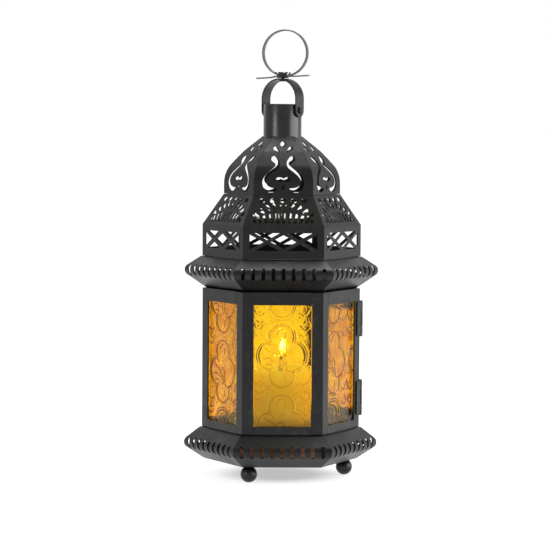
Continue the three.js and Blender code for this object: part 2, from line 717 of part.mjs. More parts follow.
function buildChimney() {
  const top = addGroup(lantern, [0, 0, 0], BAIL_TURN);
  const inner = CHIMNEY_RADIUS - CHIMNEY_WALL;
  const tube = solid(turned([
    [inner, CHIMNEY_BOTTOM],
    [CHIMNEY_RADIUS, CHIMNEY_BOTTOM],
    [CHIMNEY_RADIUS, CHIMNEY_TOP],
    [0, CHIMNEY_TOP],
    [0, CHIMNEY_TOP - CHIMNEY_WALL],
    [inner, CHIMNEY_TOP - CHIMNEY_WALL],
    [inner, CHIMNEY_BOTTOM],
  ], 28));
  const across = rod(RIVET_SHANK + GAP, -20, 20, 10).rotateY(Math.PI / 2).translate(0, 0, PIVOT_HEIGHT);
  addPiece(top, 'chimney', tube.subtract(solid(across)), SATIN_TUBE());

  const outer = BAIL_RADIUS + SHEET / 2;
  const spring = BAIL_CROWN - outer; // height where the legs meet the arch
  const end = PIVOT_HEIGHT - BAIL_WIDTH / 2;
  const arch = new THREE.Shape();
  arch.moveTo(outer, end);
  arch.absarc(0, spring, outer, 0, Math.PI, false);
  arch.lineTo(-outer, end);
  arch.lineTo(-outer + SHEET, end);
  arch.absarc(0, spring, outer - SHEET, Math.PI, 0, true);
  arch.lineTo(outer - SHEET, end);
  const upright = new THREE.ExtrudeGeometry(arch, {
    depth: BAIL_WIDTH,
    bevelEnabled: false,
    curveSegments: 10,
  }).translate(0, 0, -BAIL_WIDTH / 2).rotateX(Math.PI / 2);
  // Seen from the side the strap is a bar with round ends.
  const side = new THREE.Shape();
  side.absarc(0, PIVOT_HEIGHT, BAIL_WIDTH / 2, Math.PI, 2 * Math.PI, false);
  side.lineTo(BAIL_WIDTH / 2, BAIL_CROWN + 5);
  side.lineTo(-BAIL_WIDTH / 2, BAIL_CROWN + 5);
  const ends = new THREE.ExtrudeGeometry(side, { depth: 40, bevelEnabled: false, curveSegments: 6 })
    .translate(0, 0, -20)
    .rotateX(Math.PI / 2)
    .rotateZ(Math.PI / 2);
  const crownHole = rod(RING_HOLE, BAIL_CROWN - 5, BAIL_CROWN + 2, 10);
  const strap = solid(upright).intersect(solid(ends)).subtract(solid(across)).subtract(solid(crownHole));
  addPiece(top, 'bail_strap', strap, BLACK_PAINT());

  const face = outer + GAP;
  const rivet = turned([
    [0, inner - 1.2],
    [2.2, inner - 1.2],
    [2.2, inner - GAP - 0.1],
    [RIVET_SHANK, inner - GAP - 0.1],
    [RIVET_SHANK, face],
    [2.4, face],
    [2.2, face + 0.8],
    [1.3, face + 1.5],
    [0, face + 1.7],
  ], 12).rotateY(Math.PI / 2).translate(0, 0, PIVOT_HEIGHT);
  for (const [name, turn] of [['right', 0], ['left', Math.PI]]) {
    addPiece(top, `bail_rivet_${name}`, solid(rivet), BLACK_PAINT(), turn);
  }
}

// ---------------------------------------------------------------- hanging ring
function buildRing() {
  const ring = addGroup(lantern, [0, 0, 0], RING_TURN);
  const bar = block(
    [-RING_BAR_LENGTH / 2, -RING_WIDTH / 2, BAR_LOW],
    [RING_BAR_LENGTH / 2, RING_WIDTH / 2, BAR_LOW + SHEET],
  );
  const loopShape = circle(RING_RADIUS, 30);
  loopShape.holes.push(circle(RING_RADIUS - SHEET, 30));
  const loop = plate(loopShape, -RING_WIDTH / 2, RING_WIDTH / 2)
    .rotateX(Math.PI / 2)
    .translate(RING_OFFSET, 0, RING_TOP - RING_RADIUS);
  const hole = rod(RING_HOLE, BAR_LOW - 1, BAR_LOW + 4, 10);
  addPiece(ring, 'hanging_ring', join(solid(bar), solid(loop)).subtract(solid(hole)), BLACK_PAINT());

  // A toothed cup under the ring's foot, notched where the bar leaves it.
  const low = BAIL_CROWN + GAP;
  const cupFloor = 0.4;
  const cupHeight = 4;
  const cup = solid(turned([
    [RING_HOLE, low],
    [4.4, low],
    [6.5, low + cupHeight],
    [5.9, low + cupHeight],
    [4.1, low + cupFloor],
    [RING_HOLE, low + cupFloor],
    [RING_HOLE, low],
  ], 12));
  const notches = [];
  const teeth = 8;
  for (let i = 0; i < teeth; i += 1) {
    const above = low + cupHeight + 1;
    const notch = plate(polygon([[-0.2, low + 1], [1.3, above], [-1.3, above]]), 3, 9);
    notches.push(onSide(notch).rotateZ(((i + 0.5) * 2 * Math.PI) / teeth));
  }
  const wayHalf = RING_WIDTH / 2 + 1.4; // clear of the bar and of the loop above it
  const way = block([-9, -wayHalf, low + cupFloor + 0.01], [9, wayHalf, low + cupHeight + 2]);
  addPiece(ring, 'ring_collar', cup.subtract(solid(way)).subtract(solid(...notches)), BLACK_PAINT());

  const head = BAR_LOW + SHEET + GAP + 0.9;
  const under = BAIL_CROWN - SHEET - GAP;
  const rivet = solid(turned([
    [0, under - 1],
    [2.2, under - 1],
    [2.5, under],
    [RING_HOLE - GAP, under],
    [RING_HOLE - GAP, head],
    [2.2, head],
    [1.8, head + 1],
    [0, head + 1.3],
  ], 10));
  addPiece(ring, 'ring_rivet', rivet, BLACK_PAINT());
}

// ---------------------------------------------------------------- candle
function buildCandle() {
  const candle = addGroup(lantern);
  const floor = BASE_BOTTOM + SHEET + GAP;
  const outer = CANDLE_RADIUS + CUP_MARGIN;
  const cup = turned([
    [0, floor],
    [outer, floor],
    [outer, floor + CUP_HEIGHT],
    [outer - SHEET, floor + CUP_HEIGHT],
    [outer - SHEET, floor + SHEET],
    [0, floor + SHEET],
  ], 24);
  addPiece(candle, 'candle_cup', solid(cup), BLACK_PAINT());

  const dish = 1.5; // the wax has melted lower round the wick
  const wax = turned([
    [0, floor + SHEET + GAP],
    [CANDLE_RADIUS, floor + SHEET + GAP],
    [CANDLE_RADIUS, CANDLE_TOP],
    [0, CANDLE_TOP - dish],
  ], 24);
  const well = rod(WICK_RADIUS + GAP, CANDLE_TOP - WICK_DEPTH - 0.5, CANDLE_TOP + 1, 8);
  const wick = rod(WICK_RADIUS, CANDLE_TOP - WICK_DEPTH, CANDLE_TOP + WICK_RISE, 8);
  addPiece(candle, 'pillar_candle', solid(wax).subtract(solid(well)), WAX());
  addPiece(candle, 'candle_wick', solid(wick), COTTON());
}

buildBase();
buildBody();
buildDoor();
buildCrown();
buildChimney();
buildRing();
buildCandle();

export default lantern;
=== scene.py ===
import math

import bmesh
import bpy
import numpy as np
from mathutils import Matrix, Vector
from mathutils.geometry import delaunay_2d_cdt


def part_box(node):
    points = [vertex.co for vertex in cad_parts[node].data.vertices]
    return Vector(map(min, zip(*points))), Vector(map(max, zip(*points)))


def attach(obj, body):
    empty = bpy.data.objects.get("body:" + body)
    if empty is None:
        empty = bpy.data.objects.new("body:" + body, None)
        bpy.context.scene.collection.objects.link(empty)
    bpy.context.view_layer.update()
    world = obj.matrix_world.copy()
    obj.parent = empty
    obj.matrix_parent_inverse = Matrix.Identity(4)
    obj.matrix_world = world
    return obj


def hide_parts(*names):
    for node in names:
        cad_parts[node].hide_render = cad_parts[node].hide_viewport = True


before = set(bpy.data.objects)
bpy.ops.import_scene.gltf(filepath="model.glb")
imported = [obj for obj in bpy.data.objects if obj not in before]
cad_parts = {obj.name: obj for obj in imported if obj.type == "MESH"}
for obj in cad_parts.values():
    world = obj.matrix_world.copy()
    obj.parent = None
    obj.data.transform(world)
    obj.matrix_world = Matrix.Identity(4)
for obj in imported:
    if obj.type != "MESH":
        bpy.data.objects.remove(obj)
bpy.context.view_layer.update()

MM = 0.001
SIDES = 6
TURN = 2 * math.pi / SIDES
FLAT = math.cos(TURN / 2)  # apothem of a hexagon of radius 1
SIDE_NAMES = ["front", "front_right", "rear_right", "rear", "rear_left", "front_left"]
CORNER_NAMES = ["right", "rear_right", "rear_left", "left", "front_left", "front_right"]
DOOR_SIDE = 2

SHEET = 0.9  # plain sheet metal
PIERCED_SHEET = 0.5
BODY_RADIUS = 55.0  # of the glazed body, to the outside of its corners
FOOT_CIRCLE = 44.9  # the feet stand on this radius
CHIMNEY_RADIUS = 13.25

# The folded rims: a strip with a rounded nose, slotted across the nose.
LOWER_RIM_RADII = (53.1, 56.4)  # at its foot and at its top
UPPER_RIM_RADII = (52.0, 56.1)
LOWER_NOSE = 22.7
UPPER_NOSE_DROP = 9.7  # of the upper rim's nose below its top
NOSE_HALF = 2.3
NOSE_ROUND = 4.2
RIM_INSET = 0.35  # of the drawn strip inside the solid rim's nose
RIM_LAP = 0.35  # how far a strip's foot laps over the sheet below it
RIM_LIP = 5.6
RIM_HEM = 3.0
RIM_SLOTS = 9
SLOT_PITCH = 6.9
SLOT_WIDTH = 2.7
SLOT_HALF = 5.1

# The crown: skirt, shoulder and dome.
LATTICE_LOW = 159.4
LATTICE_HIGH = 171.6
DOME_FOOT_RADIUS = 40.6

# The pressed glass and its motif, which repeats across and up each pane.
PANE_WIDTH = 42.6
PANE_SETBACK = 1.2  # of the pane's face behind the outside of the body
PANE_THICKNESS = 2.2
PATTERN_DEPTH = 0.7
PLAIN_TINT = 0.25  # of glass that no ridge or groove deepens or thins
MOTIF_RISE = 48.3
MOTIF_SPREAD = 41.0
# How far each pane's motif is from its centre line, and the height of its centre.
MOTIF_PLACES = {
    "front": (-0.5, 87.8), "front_right": (-8.5, 82.0), "rear_right": (4.0, 78.0),
    "rear": (-3.0, 84.0), "rear_left": (6.0, 90.0), "front_left": (-1.5, 74.6),
}
PEBBLE_PITCH = 1.5
PEBBLE_GRID = 80

# The bail and the ring.
BAIL_TURN = math.radians(-35)  # plane of the bail, from +X
BAIL_RADIUS = 14.45
BAIL_WIDTH = 10.0
BAIL_CROWN = 277.3
PIVOT_HEIGHT = 255.3
RING_TURN = math.radians(-17)  # plane of the ring, from +X
RING_RADIUS = 16.25
RING_WIDTH = 5.0
RING_OFFSET = 1.7  # the loop stands a little to the right of its rivet
RING_TOP = 311.15
BAR_LENGTH = 37.5
BAR_BOTTOM = 278.3
RIVET_HOLE = 1.5

LATCH_HEIGHT = 82.0
LATCH_SETBACK = 4.0  # of the knob from the corner of the body

FLAME_HEIGHT = 13.5
FLAME_SLIMNESS = 0.68
FLAME_LEAN = 0.14
FLAME_STRENGTH = 80.0

ROOM = 0.5  # how bright the room round the white backdrop is
FLOOR_GLOW = 0.86
FLOOR_HALF = 40.0


def node_box(name):
    """The lowest and highest corners of a CAD node, in millimetres."""
    low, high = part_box(name)
    return [v / MM for v in low], [v / MM for v in high]


# ---------------- nodes
def grey(value):
    return (value, value, value)


def new_material(name):
    """A material, its node tree, and the object coordinates that place its patterns."""
    material = bpy.data.materials.new(name)
    material.use_nodes = True
    tree = material.node_tree
    return material, tree, tree.nodes.new("ShaderNodeTexCoord").outputs["Object"]


def surfaced(material, sockets):
    """Feeds the surface shader, each socket from a plain value or from a node."""
    tree = material.node_tree
    for name, value in sockets.items():
        socket = tree.nodes["Principled BSDF"].inputs[name]
        if isinstance(value, bpy.types.NodeSocket):
            tree.links.new(value, socket)
        else:
            socket.default_value = value
    return material


def noise(tree, place, scale, detail, roughness=0.5):
    texture = tree.nodes.new("ShaderNodeTexNoise")
    for name, value in (("Scale", scale), ("Detail", detail), ("Roughness", roughness)):
        texture.inputs[name].default_value = value
    tree.links.new(place, texture.inputs["Vector"])
    return texture.outputs["Fac"]


def ramp(tree, source, stops):
    """Colours a value by stops of (place, colour)."""
    node = tree.nodes.new("ShaderNodeValToRGB")
    elements = node.color_ramp.elements
    while len(elements) < len(stops):
        elements.new(0.5)
    for element, (place, colour) in zip(elements, stops):
        element.position = place
        element.color = (*colour, 1)
    tree.links.new(source, node.inputs["Fac"])
    return node.outputs["Color"]


def mix_colour(tree, factor, first, second, mode="MIX"):
    node = tree.nodes.new("ShaderNodeMix")
    node.data_type = "RGBA"
    node.blend_type = mode
    if isinstance(factor, float):
        node.inputs[0].default_value = factor
    else:
        tree.links.new(factor, node.inputs[0])
    for socket, value in ((node.inputs[6], first), (node.inputs[7], second)):
        if isinstance(value, tuple):
            socket.default_value = (*value, 1)
        else:
            tree.links.new(value, socket)
    return node.outputs[2]


def bump(tree, height, strength, distance, normal=None):
    node = tree.nodes.new("ShaderNodeBump")
    node.inputs["Strength"].default_value = strength
    node.inputs["Distance"].default_value = distance
    tree.links.new(height, node.inputs["Height"])
    if normal is not None:
        tree.links.new(normal, node.inputs["Normal"])
    return node.outputs["Normal"]


def coordinate(tree, vector, axis):
    node = tree.nodes.new("ShaderNodeSeparateXYZ")
    tree.links.new(vector, node.inputs["Vector"])
    return node.outputs[axis]


def measured(tree, vector, operation, output):
    """A vector's length, or the vector made one unit long."""
    node = tree.nodes.new("ShaderNodeVectorMath")
    node.operation = operation
    tree.links.new(vector, node.inputs[0])
    return node.outputs[output]


def spread(tree, source, low, high, start=0.0, end=1.0, kind="LINEAR"):
    """Maps low..high to start..end, and holds the value beyond them."""
    node = tree.nodes.new("ShaderNodeMapRange")
    node.interpolation_type = kind
    for name, value in (("From Min", low), ("From Max", high), ("To Min", start), ("To Max", end)):
        node.inputs[name].default_value = value
    tree.links.new(source, node.inputs["Value"])
    return node.outputs["Result"]


def product(tree, first, second):
    node = tree.nodes.new("ShaderNodeMath")
    node.operation = "MULTIPLY"
    tree.links.new(first, node.inputs[0])
    if isinstance(second, float):
        node.inputs[1].default_value = second
    else:
        tree.links.new(second, node.inputs[1])
    return node.outputs["Value"]


# ---------------- finishes
RUBBED_METAL = (0.055, 0.053, 0.05)
# Pale amber painted as a highlight along the line just outside each motif's outline.
PAINTED_HIGHLIGHT_AMBER = (0.97, 0.84, 0.16)
GATHERED_COLOUR = "_GATHERED_COLOUR"  # the panes' attribute: deeper tint with painted shade along the relief's raised lines, and a painted pale highlight line


def black_paint(name, shade, rough, gloss, tint=(1.0, 1.0, 1.0)):
    """Sprayed satin paint: faint orange peel, a cloudy sheen, dust specks and rubbed folds."""
    material, tree, place = new_material(name)

    def tone(strength):
        return tuple(shade * strength * t for t in tint)

    base = ramp(tree, noise(tree, place, 45, 4, 0.55), [(0.3, tone(1.0)), (0.72, tone(2.2))])
    dust = ramp(tree, noise(tree, place, 1100, 2), [(0.66, grey(0.0)), (0.8, grey(1.0))])
    dusty = mix_colour(tree, dust, base, tone(5.0))
    edges = tree.nodes.new("ShaderNodeNewGeometry").outputs["Pointiness"]
    worn = ramp(tree, edges, [(0.54, grey(0.0)), (0.64, grey(1.0))])
    patchy = ramp(tree, noise(tree, place, 210, 3, 0.6), [(0.5, grey(0.0)), (0.72, grey(0.45))])
    rub = mix_colour(tree, 1.0, worn, patchy, "MULTIPLY")
    sheen = [(0.3, grey(rough - 0.05)), (0.7, grey(rough + 0.07))]
    dents = bump(tree, noise(tree, place, 42, 2), 0.25, 0.0008)
    return surfaced(material, {
        "Base Color": mix_colour(tree, rub, dusty, RUBBED_METAL),
        "Roughness": ramp(tree, noise(tree, place, 85, 3), sheen),
        "Normal": bump(tree, noise(tree, place, 520, 2), 0.12, 0.00012, dents),
        "Specular IOR Level": gloss,
    })


def amber_glass(name, pale, deep, thick_and_shaded):
    """Pressed glass coloured through: amber clouds, deeper tint with painted shade along the relief's
    raised lines, a painted pale highlight line round each motif, a fine ripple.
    """
    material, tree, place = new_material(name)
    colour = ramp(tree, noise(tree, place, 130, 4, 0.6), [(0.4, deep), (0.6, pale)])
    pressed = tree.nodes.new("ShaderNodeAttribute")
    pressed.attribute_name = GATHERED_COLOUR
    # Where the attribute is high the glass takes the dark colour: deeper tint of thicker glass with painted
    # shade.
    ridges = ramp(tree, pressed.outputs["Fac"], [(0.42, grey(0.0)), (0.8, grey(1.0))])
    # Where the attribute is near zero the glass takes the pale amber of the painted highlight line.
    painted_highlight_lines = ramp(tree, pressed.outputs["Fac"], [(0.02, grey(1.0)), (0.22, grey(0.0))])
    colour = mix_colour(tree, ridges, colour, thick_and_shaded)
    ripple = noise(tree, place, 420, 3, 0.6)
    return surfaced(material, {
        "Base Color": mix_colour(tree, painted_highlight_lines, colour, PAINTED_HIGHLIGHT_AMBER),
        "Transmission Weight": 1.0,
        "IOR": 1.32,
        "Specular IOR Level": 0.05,
        "Roughness": ramp(tree, ripple, [(0.35, grey(0.06)), (0.7, grey(0.14))]),
        "Normal": bump(tree, ripple, 0.4, 0.0004),
    })


def candle_wax(name):
    """Cream wax, brown at its foot, that glows more towards the flame."""
    material, tree, place = new_material(name)
    mottled = noise(tree, place, 120, 4, 0.6)
    clean = ramp(tree, mottled, [(0.3, (0.83, 0.70, 0.42)), (0.7, (0.93, 0.83, 0.55))])
    brown_foot = ramp(tree, mottled, [(0.3, (0.4, 0.22, 0.15)), (0.7, (0.5, 0.3, 0.21))])
    height = coordinate(tree, place, "Z")
    foot = ramp(tree, height, [(0.036, grey(1.0)), (0.042, grey(0.0))])
    glow = [(0.03, grey(0.0)), (0.045, grey(0.17)), (0.064, grey(0.19)), (0.0745, grey(0.44))]
    return surfaced(material, {
        "Base Color": mix_colour(tree, foot, clean, brown_foot),
        "Roughness": ramp(tree, mottled, [(0.3, grey(0.38)), (0.7, grey(0.6))]),
        "Normal": bump(tree, noise(tree, place, 260, 3), 0.2, 0.0004),
        "Emission Color": (1.0, 0.84, 0.12, 1),
        "Emission Strength": ramp(tree, height, glow),
        "Subsurface Weight": 0.35,
        "Subsurface Radius": (0.012, 0.006, 0.003),
        "Subsurface Scale": 0.6,
    })


def charred_wick(name):
    material, tree, place = new_material(name)
    weave = noise(tree, place, 1400, 2, 0.6)
    return surfaced(material, {
        "Base Color": ramp(tree, weave, [(0.35, grey(0.01)), (0.7, (0.09, 0.06, 0.045))]),
        "Normal": bump(tree, weave, 0.6, 0.0003),
        "Roughness": 0.95,
    })


def flame_light(name, base, top):
    """A flame: faint and blue at its foot, orange above that, and near white to its tip."""
    material, tree, place = new_material(name)
    height = spread(tree, coordinate(tree, place, "Z"), base, top)
    flicker = mix_colour(tree, 0.12, height, noise(tree, place, 160, 2))
    hues = [(0.0, (0.35, 0.3, 0.7)), (0.2, (1.0, 0.7, 0.35)), (0.45, (0.85, 0.88, 1.0))]
    colour = ramp(tree, flicker, hues)
    body = [(0.0, grey(0.02)), (0.35, grey(0.08)), (0.5, grey(1.0)), (0.8, grey(1.0)), (1.0, grey(0.2))]
    return surfaced(material, {
        "Base Color": colour,
        "Emission Color": colour,
        "Emission Strength": product(tree, ramp(tree, height, body), FLAME_STRENGTH),
    })


# Each finish is a material and the record's slot that it stands for.
SHEET_PAINT = (black_paint("painted_sheet_finish", 0.002, 0.36, 0.33), "painted_sheet")
FITTING_PAINT = (black_paint("painted_fittings_finish", 0.002, 0.33, 0.36), "painted_fittings")
SMALL_SHEET_PAINT = (FITTING_PAINT[0], "painted_sheet")
TUBE_PAINT = (black_paint("satin_tube_finish", 0.0026, 0.27, 0.6, (0.9, 0.97, 1.12)), "satin_tube")
CUP_PAINT = (black_paint("browned_cup_finish", 0.4, 0.45, 0.3, (1.0, 0.56, 0.4)), "painted_sheet")
RING_PAINT = (black_paint("worn_ring_finish", 0.05, 0.38, 0.45, (1.0, 1.0, 0.93)), "painted_sheet")
GLASS = (
    amber_glass("amber_glass_finish", (0.96, 0.735, 0.045), (0.915, 0.655, 0.028), (0.72, 0.42, 0.02)),
    "amber_glass",
)
# A darker copy of the amber glass for the four side panes: painted shade for how much darker panes seen at
# a slant look.
SHADED_SIDE_GLASS = (
    amber_glass("amber_glass_painted_shade_finish", (0.955, 0.655, 0.008), (0.79, 0.41, 0.002), (0.22, 0.05, 0.006)),
    "amber_glass",
)
WAX = (candle_wax("wax_finish"), "wax")
WICK = (charred_wick("wick_finish"), "wick")


# ---------------- mesh helpers
def add_piece(name, vertices, faces, finish, node=None, body="housing", sharp=32, tint_and_painted_lines=None):
    """A mesh piece from points in millimetres, which stands for a CAD node."""
    mesh = bpy.data.meshes.new(name)
    mesh.from_pydata([(x * MM, y * MM, z * MM) for x, y, z in vertices], [], faces)
    if tint_and_painted_lines is not None:
        mesh.attributes.new(GATHERED_COLOUR, "FLOAT", "POINT").data.foreach_set("value", tint_and_painted_lines)
    return settle(name, mesh, finish, node, body, sharp)


def settle(name, mesh, finish, node, body, sharp=32):
    """Welds a mesh, turns its faces outwards, and makes it a piece that rides on a body."""
    material, slot = finish
    work = bmesh.new()
    work.from_mesh(mesh)
    bmesh.ops.remove_doubles(work, verts=work.verts, dist=0.00001)
    bmesh.ops.recalc_face_normals(work, faces=work.faces)
    work.to_mesh(mesh)
    work.free()
    mesh.materials.clear()
    mesh.materials.append(material)
    mesh.shade_smooth()
    mesh.set_sharp_from_angle(angle=math.radians(sharp))
    piece = bpy.data.objects.new(name, mesh)
    bpy.context.scene.collection.objects.link(piece)
    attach(piece, body)
    if node:
        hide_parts(node)
    return piece


def soften(piece, width, segments=2, limit=35):
    """Rounds the cut edges of a piece."""
    edge = piece.modifiers.new("softened_edges", "BEVEL")
    edge.width = width * MM
    edge.segments = segments
    edge.limit_method = "ANGLE"
    edge.angle_limit = math.radians(limit)
    edge.harden_normals = False


def softened_copy(node, name, width, finish, body="housing", segments=2, swell=0.0):
    """A CAD piece of the right shape, with rounded edges and, if asked, a little more thickness."""
    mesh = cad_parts[node].data.copy()
    work = bmesh.new()
    work.from_mesh(mesh)
    bmesh.ops.remove_doubles(work, verts=work.verts, dist=0.00002)
    bmesh.ops.dissolve_limit(work, angle_limit=math.radians(1), verts=work.verts, edges=work.edges)
    if swell:
        work.normal_update()
        moves = [vertex.normal * swell * MM * vertex.calc_shell_factor() for vertex in work.verts]
        for vertex, move in zip(work.verts, moves):
            vertex.co += move
    work.to_mesh(mesh)
    work.free()
    soften(settle(name, mesh, finish, node, body), width, segments)


def revolved(profile, steps):
    """A profile of (radius, height) turned about Z, from axis to axis or closed on itself."""
    count = len(profile)
    spans = range(count if profile[0][0] > 0 else count - 1)
    vertices, faces = [], []
    for i in range(steps):
        angle = 2 * math.pi * i / steps
        vertices += [(r * math.cos(angle), r * math.sin(angle), z) for r, z in profile]
        here, there = i * count, (i + 1) % steps * count
        for j in spans:
            k = (j + 1) % count
            if profile[j][0] > 0 or profile[k][0] > 0:
                faces.append((here + j, there + j, there + k, here + k))
    return vertices, faces


def turned(name, profile, finish, node=None, body="housing", steps=48, sharp=32, place=None):
    """A piece turned about Z, then moved to its place."""
    vertices, faces = revolved(profile, steps)
    if place is not None:
        vertices = [tuple(place @ Vector(v)) for v in vertices]
    add_piece(name, vertices, faces, finish, node, body, sharp)


def rounded(points, radius, steps=5):
    """A path with each inner corner replaced by an arc-like curve."""
    path = [points[0]]
    for before, corner, after in zip(points, points[1:], points[2:]):
        into = [b - c for b, c in zip(before, corner)]
        out = [a - c for a, c in zip(after, corner)]
        size_in, size_out = math.hypot(*into), math.hypot(*out)
        reach = min(radius, size_in * 0.49, size_out * 0.49)
        start = [c + d / size_in * reach for c, d in zip(corner, into)]
        end = [c + d / size_out * reach for c, d in zip(corner, out)]
        for i in range(steps + 1):
            t = i / steps
            path.append(tuple(
                (1 - t) ** 2 * s + 2 * t * (1 - t) * c + t * t * e
                for s, c, e in zip(start, corner, end)
            ))
    path.append(points[-1])
    return path


def dense(loop, pitch):
    """A closed outline with points no further apart than the pitch."""
    points = []
    for (x0, y0), (x1, y1) in zip(loop, loop[1:] + loop[:1]):
        steps = max(1, math.ceil(math.hypot(x1 - x0, y1 - y0) / pitch))
        points += [(x0 + (x1 - x0) * i / steps, y0 + (y1 - y0) * i / steps) for i in range(steps)]
    return points


def inside(points, loop):
    """Which of the points lie inside a closed outline."""
    x, y = points[:, 0], points[:, 1]
    hit = np.zeros(len(points), bool)
    for (x0, y0), (x1, y1) in zip(loop, loop[1:] + loop[:1]):
        if y0 != y1:
            crosses = (y0 > y) != (y1 > y)
            hit ^= crosses & (x < (x1 - x0) * (y - y0) / (y1 - y0) + x0)
    return hit


def on_sheet(points, loops):
    """Which of the points lie inside the first outline and outside all the others."""
    kept = inside(points, loops[0])
    for loop in loops[1:]:
        kept &= ~inside(points, loop)
    return kept


def triangulated(outline, holes, pitch):
    """A flat sheet with holes, cut into even triangles."""
    loops = [dense(outline, pitch)] + [dense(hole, pitch * 0.7) for hole in holes]
    points, edges = [], []
    for loop in loops:
        first = len(points)
        points += loop
        edges += [(first + i, first + (i + 1) % len(loop)) for i in range(len(loop))]
    rim = np.array(points)
    low, high = rim.min(0), rim.max(0)
    row = pitch * 0.87
    grid = np.array([
        (low[0] + (i + 0.5 * (j % 2)) * pitch, low[1] + j * row)
        for j in range(1, int((high[1] - low[1]) / row) + 1)
        for i in range(int((high[0] - low[0]) / pitch) + 2)
    ])
    grid = grid[on_sheet(grid, loops)]
    nearest = np.full(len(grid), 1e9)
    for point in rim:
        nearest = np.minimum(nearest, np.hypot(grid[:, 0] - point[0], grid[:, 1] - point[1]))
    points += [tuple(p) for p in grid[nearest > pitch * 0.55]]
    found, _, faces = delaunay_2d_cdt([Vector(p) for p in points], edges, [], 0, 1e-5, False)[:3]
    vertices = [tuple(v) for v in found]
    centres = np.array([np.mean([vertices[i] for i in face], axis=0) for face in faces])
    return vertices, [face for face, kept in zip(faces, on_sheet(centres, loops)) if kept]


def thick_sheet(flat, faces, outer, inner):
    """Both skins of a sheet and the walls along every cut edge."""
    count = len(flat)
    vertices = [outer(x, y) for x, y in flat] + [inner(x, y) for x, y in flat]
    skins = [tuple(face) for face in faces]
    skins += [tuple(count + i for i in reversed(face)) for face in faces]
    used = dict.fromkeys((a, b) for face in faces for a, b in zip(face, face[1:] + face[:1]))
    walls = [(b, a, count + a, count + b) for a, b in used if (b, a) not in used]
    return vertices, skins + walls


def on_side(k, x, out, z):
    """A point of side k: x along the side, out from the axis, z up."""
    angle = -math.pi / 2 + k * TURN
    return (
        out * math.cos(angle) - x * math.sin(angle),
        out * math.sin(angle) + x * math.cos(angle),
        z,
    )


class Section:
    """The upright section of a six-sided sheet as [radius across corners, height] points."""

    def __init__(self, path):
        self.out = np.array([r * FLAT for r, _ in path])
        self.z = np.array([z for _, z in path])
        steps = np.hypot(np.diff(self.out), np.diff(self.z))
        self.s = np.concatenate([[0], np.cumsum(steps)])
        tangent_out = np.gradient(self.out, self.s)
        tangent_z = np.gradient(self.z, self.s)
        size = np.hypot(tangent_out, tangent_z)
        self.normal_out = tangent_z / size
        self.normal_z = -tangent_out / size
        self.length = float(self.s[-1])

    def at(self, s, depth=0.0):
        """How far out and how high the sheet is at s along it, at a depth under its face."""
        out = float(np.interp(s, self.s, self.out) - depth * np.interp(s, self.s, self.normal_out))
        z = float(np.interp(s, self.s, self.z) - depth * np.interp(s, self.s, self.normal_z))
        return out, z

    def height_to_s(self, z):
        return float(np.interp(z, self.z, self.s))

    def half_width(self, s):
        return float(np.interp(s, self.s, self.out)) * math.tan(TURN / 2)

    def outline(self, trim=0.0, stops=24):
        """One side laid flat, a little narrower by the trim at each edge."""
        places = [self.length * i / stops for i in range(stops + 1)]
        right = [(self.half_width(s) - trim, s) for s in places]
        return right + [(-x, s) for x, s in reversed(right)]

    def skins(self, k, thickness):
        """The outer and inner faces of side k, as functions of a point of the flat sheet."""
        def outer(x, s):
            out, z = self.at(s)
            return on_side(k, x, out, z)

        def inner(x, s):
            out, z = self.at(s)
            out_in, z_in = self.at(s, thickness)
            return on_side(k, x * out_in / out, out_in, z_in)

        return outer, inner


def six_sided(name, section, holes, pitch, node):
    """A closed six-sided pierced sheet with the same openings in each side."""
    flat, faces = triangulated(section.outline(), holes, pitch)
    edges = {i for i, (x, s) in enumerate(flat) if abs(abs(x) - section.half_width(s)) < 1e-3}
    mitre = edges | {i + len(flat) for i in edges}
    vertices, polygons = [], []
    for k in range(SIDES):
        first = len(vertices)
        points, skins = thick_sheet(flat, faces, *section.skins(k, PIERCED_SHEET))
        shown = [face for face in skins if len(face) == 3 or not mitre.issuperset(face)]
        polygons += [tuple(first + i for i in face) for face in shown]
        vertices += points
    add_piece(name, vertices, polygons, SHEET_PAINT, node)


# ---------------- outlines of openings
def blend(p, q, r, s, t):
    """Catmull-Rom: t of the way from q to r."""
    square, cube = 2 * p - 5 * q + 4 * r - s, 3 * q - p - 3 * r + s
    return 0.5 * (2 * q + (r - p) * t + square * t * t + cube * t ** 3)


def spline(points, samples):
    """A smooth path through a list of points, open at both ends."""
    padded = [points[0]] + list(points) + [points[-1]]
    spans = len(points) - 1
    result = []
    for i in range(samples + 1):
        place = min(i * spans / samples, spans - 1e-9)
        span = int(place)
        a, b, c, d = padded[span:span + 4]
        result.append(tuple(blend(p, q, r, s, place - span) for p, q, r, s in zip(a, b, c, d)))
    return result


def arc(x, y, radius, start, end, steps, stretch=1.0):
    """Points along an arc from one angle to another, in degrees; stretched, it is an ellipse's."""
    angles = [math.radians(start + (end - start) * i / steps) for i in range(steps + 1)]
    return [(x + radius * math.cos(a), y + radius * stretch * math.sin(a)) for a in angles]


def brush(points, widths, samples):
    """A slot that follows a curve, with a width that swells and thins along it."""
    path = spline(points, samples)
    swell = np.interp(np.linspace(0, 1, samples + 1), np.linspace(0, 1, len(widths)), widths)
    left, right = [], []
    for i, (x, y) in enumerate(path):
        ahead, behind = path[min(i + 1, samples)], path[max(i - 1, 0)]
        dx, dy = ahead[0] - behind[0], ahead[1] - behind[1]
        size = math.hypot(dx, dy) or 1
        half = swell[i] / 2
        left.append((x - dy / size * half, y + dx / size * half))
        right.append((x + dy / size * half, y - dx / size * half))
    heading = math.degrees(math.atan2(path[1][1] - path[0][1], path[1][0] - path[0][0]))
    cap = arc(*path[0], swell[0] / 2, heading + 225, heading + 135, 2)
    return left + right[::-1] + cap


def flipped(loop):
    return [(-x, y) for x, y in reversed(loop)]


